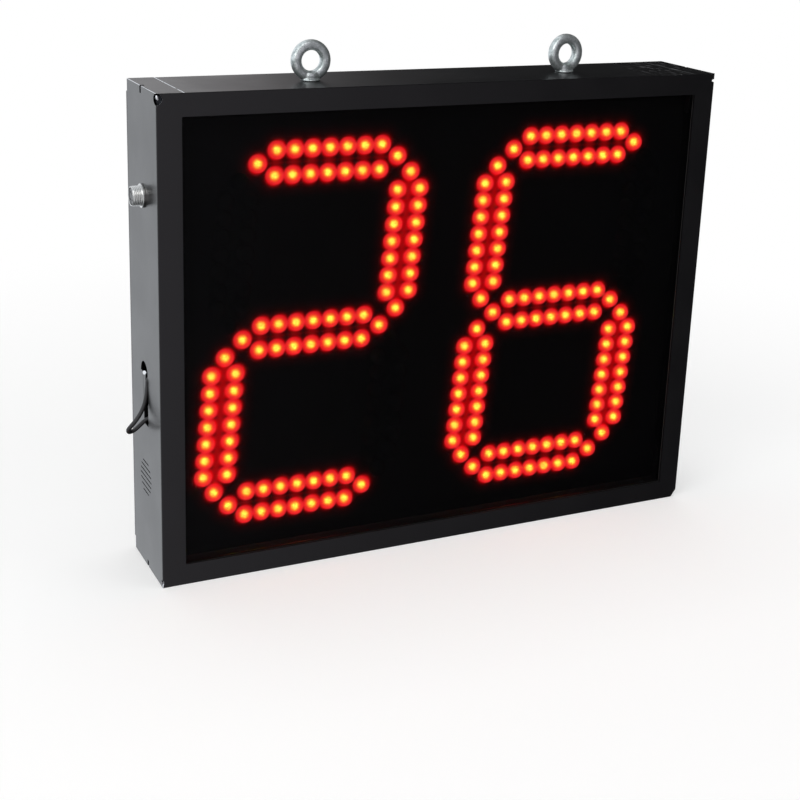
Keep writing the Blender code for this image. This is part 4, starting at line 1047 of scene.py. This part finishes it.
def cover_screws():
    seat_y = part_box("cover_screw_1")[1].y - SCREW_HEAD_HEIGHT
    for number, (x, z) in enumerate(cover_screw_places(), start=1):
        screw = turned(f"cover_screw_head_{number}", screw_profile())
        bottom, top = SCREW_HEAD_HEIGHT - CROSS_DEPTH, SCREW_HEAD_HEIGHT + SHEET
        for reach_x, reach_y in ((CROSS_REACH, CROSS_WIDTH / 2), (CROSS_WIDTH / 2, CROSS_REACH)):
            cut(screw, boxes("recess", ((-reach_x, -reach_y, bottom), (reach_x, reach_y, top))))
        soften(screw, SCREW_ROUNDING, least=50.0)
        turn = rotation(-90.0, "X") @ rotation(TURN_BETWEEN_SCREWS_DEGREES * number, "Z")
        place(screw, Matrix.Translation((x, seat_y, z)) @ turn)
        dress(screw, f"cover_screw_{number}", "zinc_steel")


# Eyebolts

def eye_place(side):
    low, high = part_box(f"eyebolt_{side}")
    drop = EYE_BELOW_CAD_TOP + EYE_RING_RADIUS + EYE_SECTION_RADIUS
    return Vector(((low.x + high.x) / 2, (low.y + high.y) / 2, high.z - drop))


def square_section(ring):
    """Turns the round section of a ring about Z into a rounded square one."""
    for vert in ring.data.vertices:
        out = math.hypot(vert.co.x, vert.co.y)
        away, up = out - EYE_RING_RADIUS, vert.co.z
        angle = math.atan2(up, away)
        power = EYE_SECTION_SQUARENESS
        swell = (abs(math.cos(angle))**power + abs(math.sin(angle))**power)**(-1 / power)
        share = (EYE_RING_RADIUS + away * swell) / out
        vert.co = (vert.co.x * share, vert.co.y * share, up * swell)


def eye_ring(floor_z):
    """The ring, cut off flat where it reaches the case."""
    bpy.ops.mesh.primitive_torus_add(
        major_segments=96, minor_segments=32,
        major_radius=EYE_RING_RADIUS, minor_radius=EYE_SECTION_RADIUS,
    )
    ring = bpy.context.active_object
    square_section(ring)
    place(ring, rotation(90.0, "X"))
    far = 3 * CUT_PAST
    return cut(ring, boxes("below", ((-far, -far, -far), (far, far, floor_z))))


def eyebolt(side):
    """A forged ring that flows into a flat neck on a round collar, with the shank below it."""
    centre = eye_place(side)
    base = TOP + SEAM
    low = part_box(f"eyebolt_{side}")[0].z
    bolt = rods(f"eyebolt_{side}_forging", [(0.0, 0.0, low - centre.z)], "Z",
                base + EYE_SHANK_INTO_NECK - low, EYE_SHANK_RADIUS, sides=48)
    edge = COLLAR_RADIUS - COLLAR_ROUNDING
    collar = turned("collar", [
        (0.0, COLLAR_HEIGHT), (edge, COLLAR_HEIGHT), (COLLAR_RADIUS, COLLAR_HEIGHT - COLLAR_ROUNDING),
        (COLLAR_RADIUS, COLLAR_ROUNDING), (edge, 0.0), (0.0, 0.0),
    ])
    neck = place(turned("neck", NECK), Matrix.Diagonal((1.0, NECK_DEPTH_SHARE, 1.0, 1.0)))
    for part in (collar, neck):
        place(part, Matrix.Translation((0.0, 0.0, base - centre.z)))
    cut(bolt, collar, neck, eye_ring(base - centre.z), operation="UNION")
    remesh = bolt.modifiers.new("forging", "REMESH")
    remesh.mode = "VOXEL"
    remesh.voxel_size = FORGING_VOXEL
    smooth = bolt.modifiers.new("flow", "SMOOTH")
    smooth.factor = 0.5
    smooth.iterations = 5
    settle(bolt)
    place(bolt, Matrix.Translation(centre) @ rotation(EYE_TURN_DEGREES[side], "Z"))
    dress(bolt, f"eyebolt_{side}", "zinc_steel", body=f"eyebolt_{side}", smooth=80.0)


# Supply socket

def shell_profile(out, tail, flange_top, flange_radius):
    """Radius and height of the barrel, with a row of points for each part of a turn of thread."""
    length = out - flange_top
    count = round(length / THREAD_PITCH * THREAD_ROWS)
    edge = flange_radius - FLANGE_ROUNDING
    return [
        (SOCKET_BORE_RADIUS, out - MOUTH_ROUNDING), (SOCKET_BORE_RADIUS + MOUTH_ROUNDING, out),
        (SOCKET_THREAD_RADIUS - THREAD_DEPTH, out),
        *((SOCKET_THREAD_RADIUS, out - length * row / count) for row in range(count + 1)),
        (edge, flange_top), (flange_radius, flange_top - FLANGE_ROUNDING),
        (flange_radius, SEAM + FLANGE_ROUNDING / 2), (flange_radius - FLANGE_ROUNDING / 2, SEAM),
        (SOCKET_THREAD_RADIUS, SEAM), (SOCKET_THREAD_RADIUS, tail), (SOCKET_BORE_RADIUS, tail),
    ]


def cut_thread(shell, out, flange_top):
    """Draws the barrel's surface in to a thread that starts at the mouth and fades out at the flange."""
    for vert in shell.data.vertices:
        z, radius = vert.co.z, math.hypot(vert.co.x, vert.co.y)
        if abs(radius - SOCKET_THREAD_RADIUS) > 1e-6 or z <= flange_top + 1e-6:
            continue
        turn = math.atan2(vert.co.y, vert.co.x) / math.tau
        phase = (z / THREAD_PITCH - turn) % 1.0
        fade = min(1.0, (z - flange_top) / THREAD_PITCH)
        lead_in = max(0.0, 1.0 - (out - z) / THREAD_PITCH)
        depth = THREAD_DEPTH * max(abs(2 * phase - 1) * fade, lead_in)
        vert.co.x *= (radius - depth) / radius
        vert.co.y *= (radius - depth) / radius


def socket_insert(out):
    low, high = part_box("supply_socket_insert")
    top = out - INSERT_RECESS
    foot = -(high.x + HALF_WIDTH)
    radius = (high.z - low.z) / 2
    rim = radius - FLANGE_ROUNDING
    insert = turned("supply_socket_core", [
        (0.0, top), (rim, top), (radius, top - FLANGE_ROUNDING), (radius, foot), (0.0, foot)])
    starts = [
        (CONTACT_CIRCLE_RADIUS * math.cos(a), CONTACT_CIRCLE_RADIUS * math.sin(a), top - CONTACT_DEPTH)
        for a in (math.tau * (i + 0.5) / CONTACTS for i in range(CONTACTS))
    ]
    cut(insert, rods("contacts", starts, "Z", 2 * CONTACT_DEPTH, CONTACT_RADIUS, sides=20))
    return cut(insert, boxes("key", (
        (-KEY_WIDTH / 2, radius - KEY_DEPTH, top - KEY_LENGTH),
        (KEY_WIDTH / 2, radius + THREAD_PITCH, top + THREAD_PITCH),
    )))


def supply_socket():
    """Both pieces are turned about Z with the outside up, then laid along -X."""
    low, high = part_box("supply_socket_shell")
    out = -HALF_WIDTH - low.x - SOCKET_SHORTER_THAN_CAD
    flange_top = SEAM + FLANGE_THICKNESS
    flange_radius = (high.z - low.z) / 2 - FLANGE_SMALLER_THAN_CAD
    profile = shell_profile(out, -(high.x + HALF_WIDTH), flange_top, flange_radius)
    shell = turned("supply_socket_barrel", profile, sides=72, closed=True)
    cut_thread(shell, out, flange_top)
    lay = Matrix.Translation((-HALF_WIDTH, SOCKET_Y, SOCKET_Z)) @ rotation(-90.0, "Y")
    dress(place(shell, lay), "supply_socket_shell", "chrome", smooth=30.0)
    dress(place(socket_insert(out), lay), "supply_socket_insert", "black_plastic")


# LED segments

def hexagon(node, margin):
    centre, across, half, _ = segment_layout(node)
    half_height = ROW_SPACING / 2 + margin
    tip = half + margin * math.sqrt(2)
    shoulder = tip - half_height
    local = [
        (tip, 0.0), (shoulder, half_height), (-shoulder, half_height), (-tip, 0.0),
        (-shoulder, -half_height), (shoulder, -half_height),
    ]
    return [from_local(centre, across, along, line) for along, line in local]


def add_dome(bm, x, z, radius, slot, rings, sides):
    """The front of a ball whose back is sunk in the strip and closed there."""
    sunk = math.acos(max(-1.0, (LENS_CENTRE_Y - POTTING_Y - LENS_SUNK) / radius))
    loops = [[bm.verts.new((x, LENS_CENTRE_Y - radius, z))]]
    for i in range(1, rings + 1):
        angle = sunk * i / rings
        r, y = radius * math.sin(angle), LENS_CENTRE_Y - radius * math.cos(angle)
        turns = (math.tau * k / sides for k in range(sides))
        loops.append([bm.verts.new((x + r * math.cos(t), y, z + r * math.sin(t))) for t in turns])
    made = [bm.faces.new(loops[-1])]
    for first, second in zip(loops, loops[1:]):
        for k in range(sides):
            after = (k + 1) % sides
            inner = (first[0],) if len(first) == 1 else (first[k], first[after])
            made.append(bm.faces.new((*inner, second[after], second[k])))
    for face in made:
        face.material_index = slot


def segment(side, letter):
    node = f"segment_{side}_{letter}"
    lit = letter in LIT[side]
    middle = upright((STRIP_REAR_Y + POTTING_Y) / 2)
    bm = bmesh.new()
    add_prism(bm, hexagon(node, POTTING_MARGIN), STRIP_REAR_Y - POTTING_Y, middle)
    for x, z in led_places(node):
        for slot, (radius, _, _) in enumerate(LED_LAYERS if lit else LED_LAYERS[:1], start=1):
            add_dome(bm, x, z, radius, slot, *(LENS_FACETS if slot == 1 else INNER_FACETS))
    # The strip round the lenses takes the painted LED glow
    materials = [MATERIALS["display_black"]] + (LIT_LAYERS if lit else [MATERIALS["led_dark"]])
    dress(object_of(bm, f"led_{node}"), node, "led_lit" if lit else "led_dark", materials)


front_frame()
for side, sign in (("left", -1), ("right", 1)):
    end_panel(side, sign)
    eyebolt(side)
    for letter in "abcdefg":
        segment(side, letter)
rear_cover()
cover_screws()
supply_socket()


# The CAD solids that stay

def finish_cad_nodes():
    """Each takes its record slot's material, and the display panel the painted glow of the LEDs' light
    as well.
    """
    slots = {part["node"]: part["material_slot"] for part in frame["record"]["subparts"]}
    slots["display_panel"] = "display_black"
    for name, obj in frame["nodes"].items():
        if not obj.hide_render:
            obj.data.materials[0] = MATERIALS[slots[name]]


finish_cad_nodes()


# Studio

# What gloss reflects at each bearing, in degrees from straight behind the object and to the right
ROOM = [
    (-180, (0.66, 0.60, 0.64)),
    (-150, (0.60, 0.60, 0.60)),
    (-115, (0.76, 0.79, 0.82)),
    (-60, (0.86, 0.89, 0.93)),
    (-6, (0.86, 0.89, 0.93)),
    (14, (0.62, 0.62, 0.64)),
    (17, (0.54, 0.53, 0.54)),
    (19.5, (0.38, 0.36, 0.37)),
    (22, (0.12, 0.115, 0.117)),
    (24.5, (0.040, 0.039, 0.040)),
    (28, (0.015, 0.015, 0.016)),
    (38, (0.010, 0.010, 0.010)),
    (55, (0.05, 0.05, 0.05)),
    (105, (0.05, 0.05, 0.05)),
    (130, (0.004, 0.004, 0.004)),
    (143, (0.006, 0.005, 0.006)),
    (154, (0.14, 0.125, 0.14)),
    (165, (0.52, 0.50, 0.55)),
]
# Its strength overhead and at eye level, and towards the floor
ROOM_STRENGTH = 1.3
FLOORWARD_STRENGTH = 0.2
FLOORWARD_FROM, FLOORWARD_TO = -0.45, -0.85
SOFT_LIGHT = 0.55

FLOOR_REACH = 4.0
FLOOR_GREY = 0.62
FLOOR_LIFT = 0.42
FLOOR_FADES_FROM = 0.30
FLOOR_WHITE_AT = 0.75
FLOOR_GREY_TO_LIGHT = 0.7
FLOOR_CARD_PLACE = (0.35, 0.34, 0.002)
FLOOR_CARD_SIZE = (0.66, 0.56)
FLOOR_CARD_WATTS = 1.7
LIGHTS_AIM = (0.0, 0.0, 0.15)
# Name, centre, side and watts, and whether gloss shows it
SOFTBOXES = [
    ("key", (-1.3, -1.2, 1.7), 1.9, 22.0, True),
    ("fill", (1.6, -1.4, 1.2), 1.2, 6.0, False),
    ("top", (0.0, 0.3, 2.0), 1.2, 10.0, False),
]


class StudioNodes(Nodes):
    """The emptied node tree of a world or of the floor's material."""

    def __init__(self, owner):
        owner.use_nodes = True
        owner.node_tree.nodes.clear()
        super().__init__(owner.node_tree)

    def ray(self, name):
        return self.node("LightPath").outputs[name]

    def glow(self, kind, colour, strength):
        colour = (colour,) * 3 + (1.0,) if isinstance(colour, float) else colour
        return self.fed(kind, colour, strength)

    def blend(self, factor, first, second):
        return self.fed("MixShader", factor, first, second)

    def matt(self, grey):
        return self.fed("BsdfDiffuse", (grey, grey, grey, 1.0))


def make_world():
    """White to the camera. Gloss shows the white backdrop behind and left, and a dim room elsewhere."""
    world = bpy.data.worlds.new("studio")
    bpy.context.scene.world = world
    nodes = StudioNodes(world)
    x, y, z = nodes.split(nodes.node("TexCoord").outputs["Generated"])
    turn = nodes.math("MULTIPLY_ADD", nodes.math("ARCTAN2", x, y), 1 / math.tau, 0.5)
    room = nodes.ramp(turn, *[(degrees / 360 + 0.5, colour) for degrees, colour in ROOM])
    strength = nodes.spread(z, FLOORWARD_TO, FLOORWARD_FROM, FLOORWARD_STRENGTH, ROOM_STRENGTH)
    gloss = nodes.glow("Background", room, strength)
    soft = nodes.glow("Background", 0.8, SOFT_LIGHT)
    white = nodes.glow("Background", 1.0, 1.0)
    shiny = nodes.math("MAXIMUM", nodes.ray("Is Glossy Ray"), nodes.ray("Is Transmission Ray"))
    seen = nodes.blend(nodes.ray("Is Camera Ray"), nodes.blend(shiny, soft, gloss), white)
    nodes.feed(nodes.node("OutputWorld").inputs["Surface"], seen)


def make_floor():
    """Pale floor that keeps the object's shadow and fades into the white background."""
    bm = bmesh.new()
    bmesh.ops.create_grid(bm, x_segments=1, y_segments=1, size=FLOOR_REACH)
    floor = object_of(bm, "floor")
    material = bpy.data.materials.new("floor")
    nodes = StudioNodes(material)
    away = nodes.node("VectorMath", operation="LENGTH")
    nodes.feed(away.inputs[0], nodes.node("TexCoord").outputs["Object"])
    fade = nodes.spread(away.outputs["Value"], FLOOR_FADES_FROM, FLOOR_WHITE_AT)
    lift = nodes.glow("Emission", 1.0, FLOOR_LIFT)
    near = nodes.fed("AddShader", nodes.matt(FLOOR_GREY), lift)
    to_camera = nodes.blend(fade, near, nodes.glow("Emission", 1.0, 1.0))
    seen = nodes.blend(nodes.ray("Is Camera Ray"), nodes.matt(FLOOR_GREY_TO_LIGHT), to_camera)
    nodes.feed(nodes.node("OutputMaterial").inputs["Surface"], seen)
    floor.data.materials.append(material)
    floor.visible_glossy = False


def area_light(name, matrix, size, watts, glossy, diffuse):
    data = bpy.data.lights.new(name, "AREA")
    data.shape = "RECTANGLE"
    data.size, data.size_y = size
    data.energy = watts
    light = add_object(name, data)
    light.matrix_world = matrix
    light.visible_camera = False
    light.visible_glossy = glossy
    light.visible_diffuse = diffuse


def floor_card():
    """Light patch on the floor, right of and behind the object, that its dark far sides mirror."""
    matrix = Matrix.Translation(FLOOR_CARD_PLACE) @ rotation(180.0, "X")
    area_light("floor_card", matrix, FLOOR_CARD_SIZE, FLOOR_CARD_WATTS, glossy=True, diffuse=False)


def softbox(name, centre, side, watts, glossy):
    """Square soft light that points at the object."""
    aim = Vector(LIGHTS_AIM) - Vector(centre)
    matrix = Matrix.Translation(centre) @ aim.to_track_quat("-Z", "Y").to_matrix().to_4x4()
    area_light(name, matrix, (side, side), watts, glossy, diffuse=True)


make_world()
make_floor()
floor_card()
for box in SOFTBOXES:
    softbox(*box)
bpy.context.scene.view_settings.view_transform = "Standard"
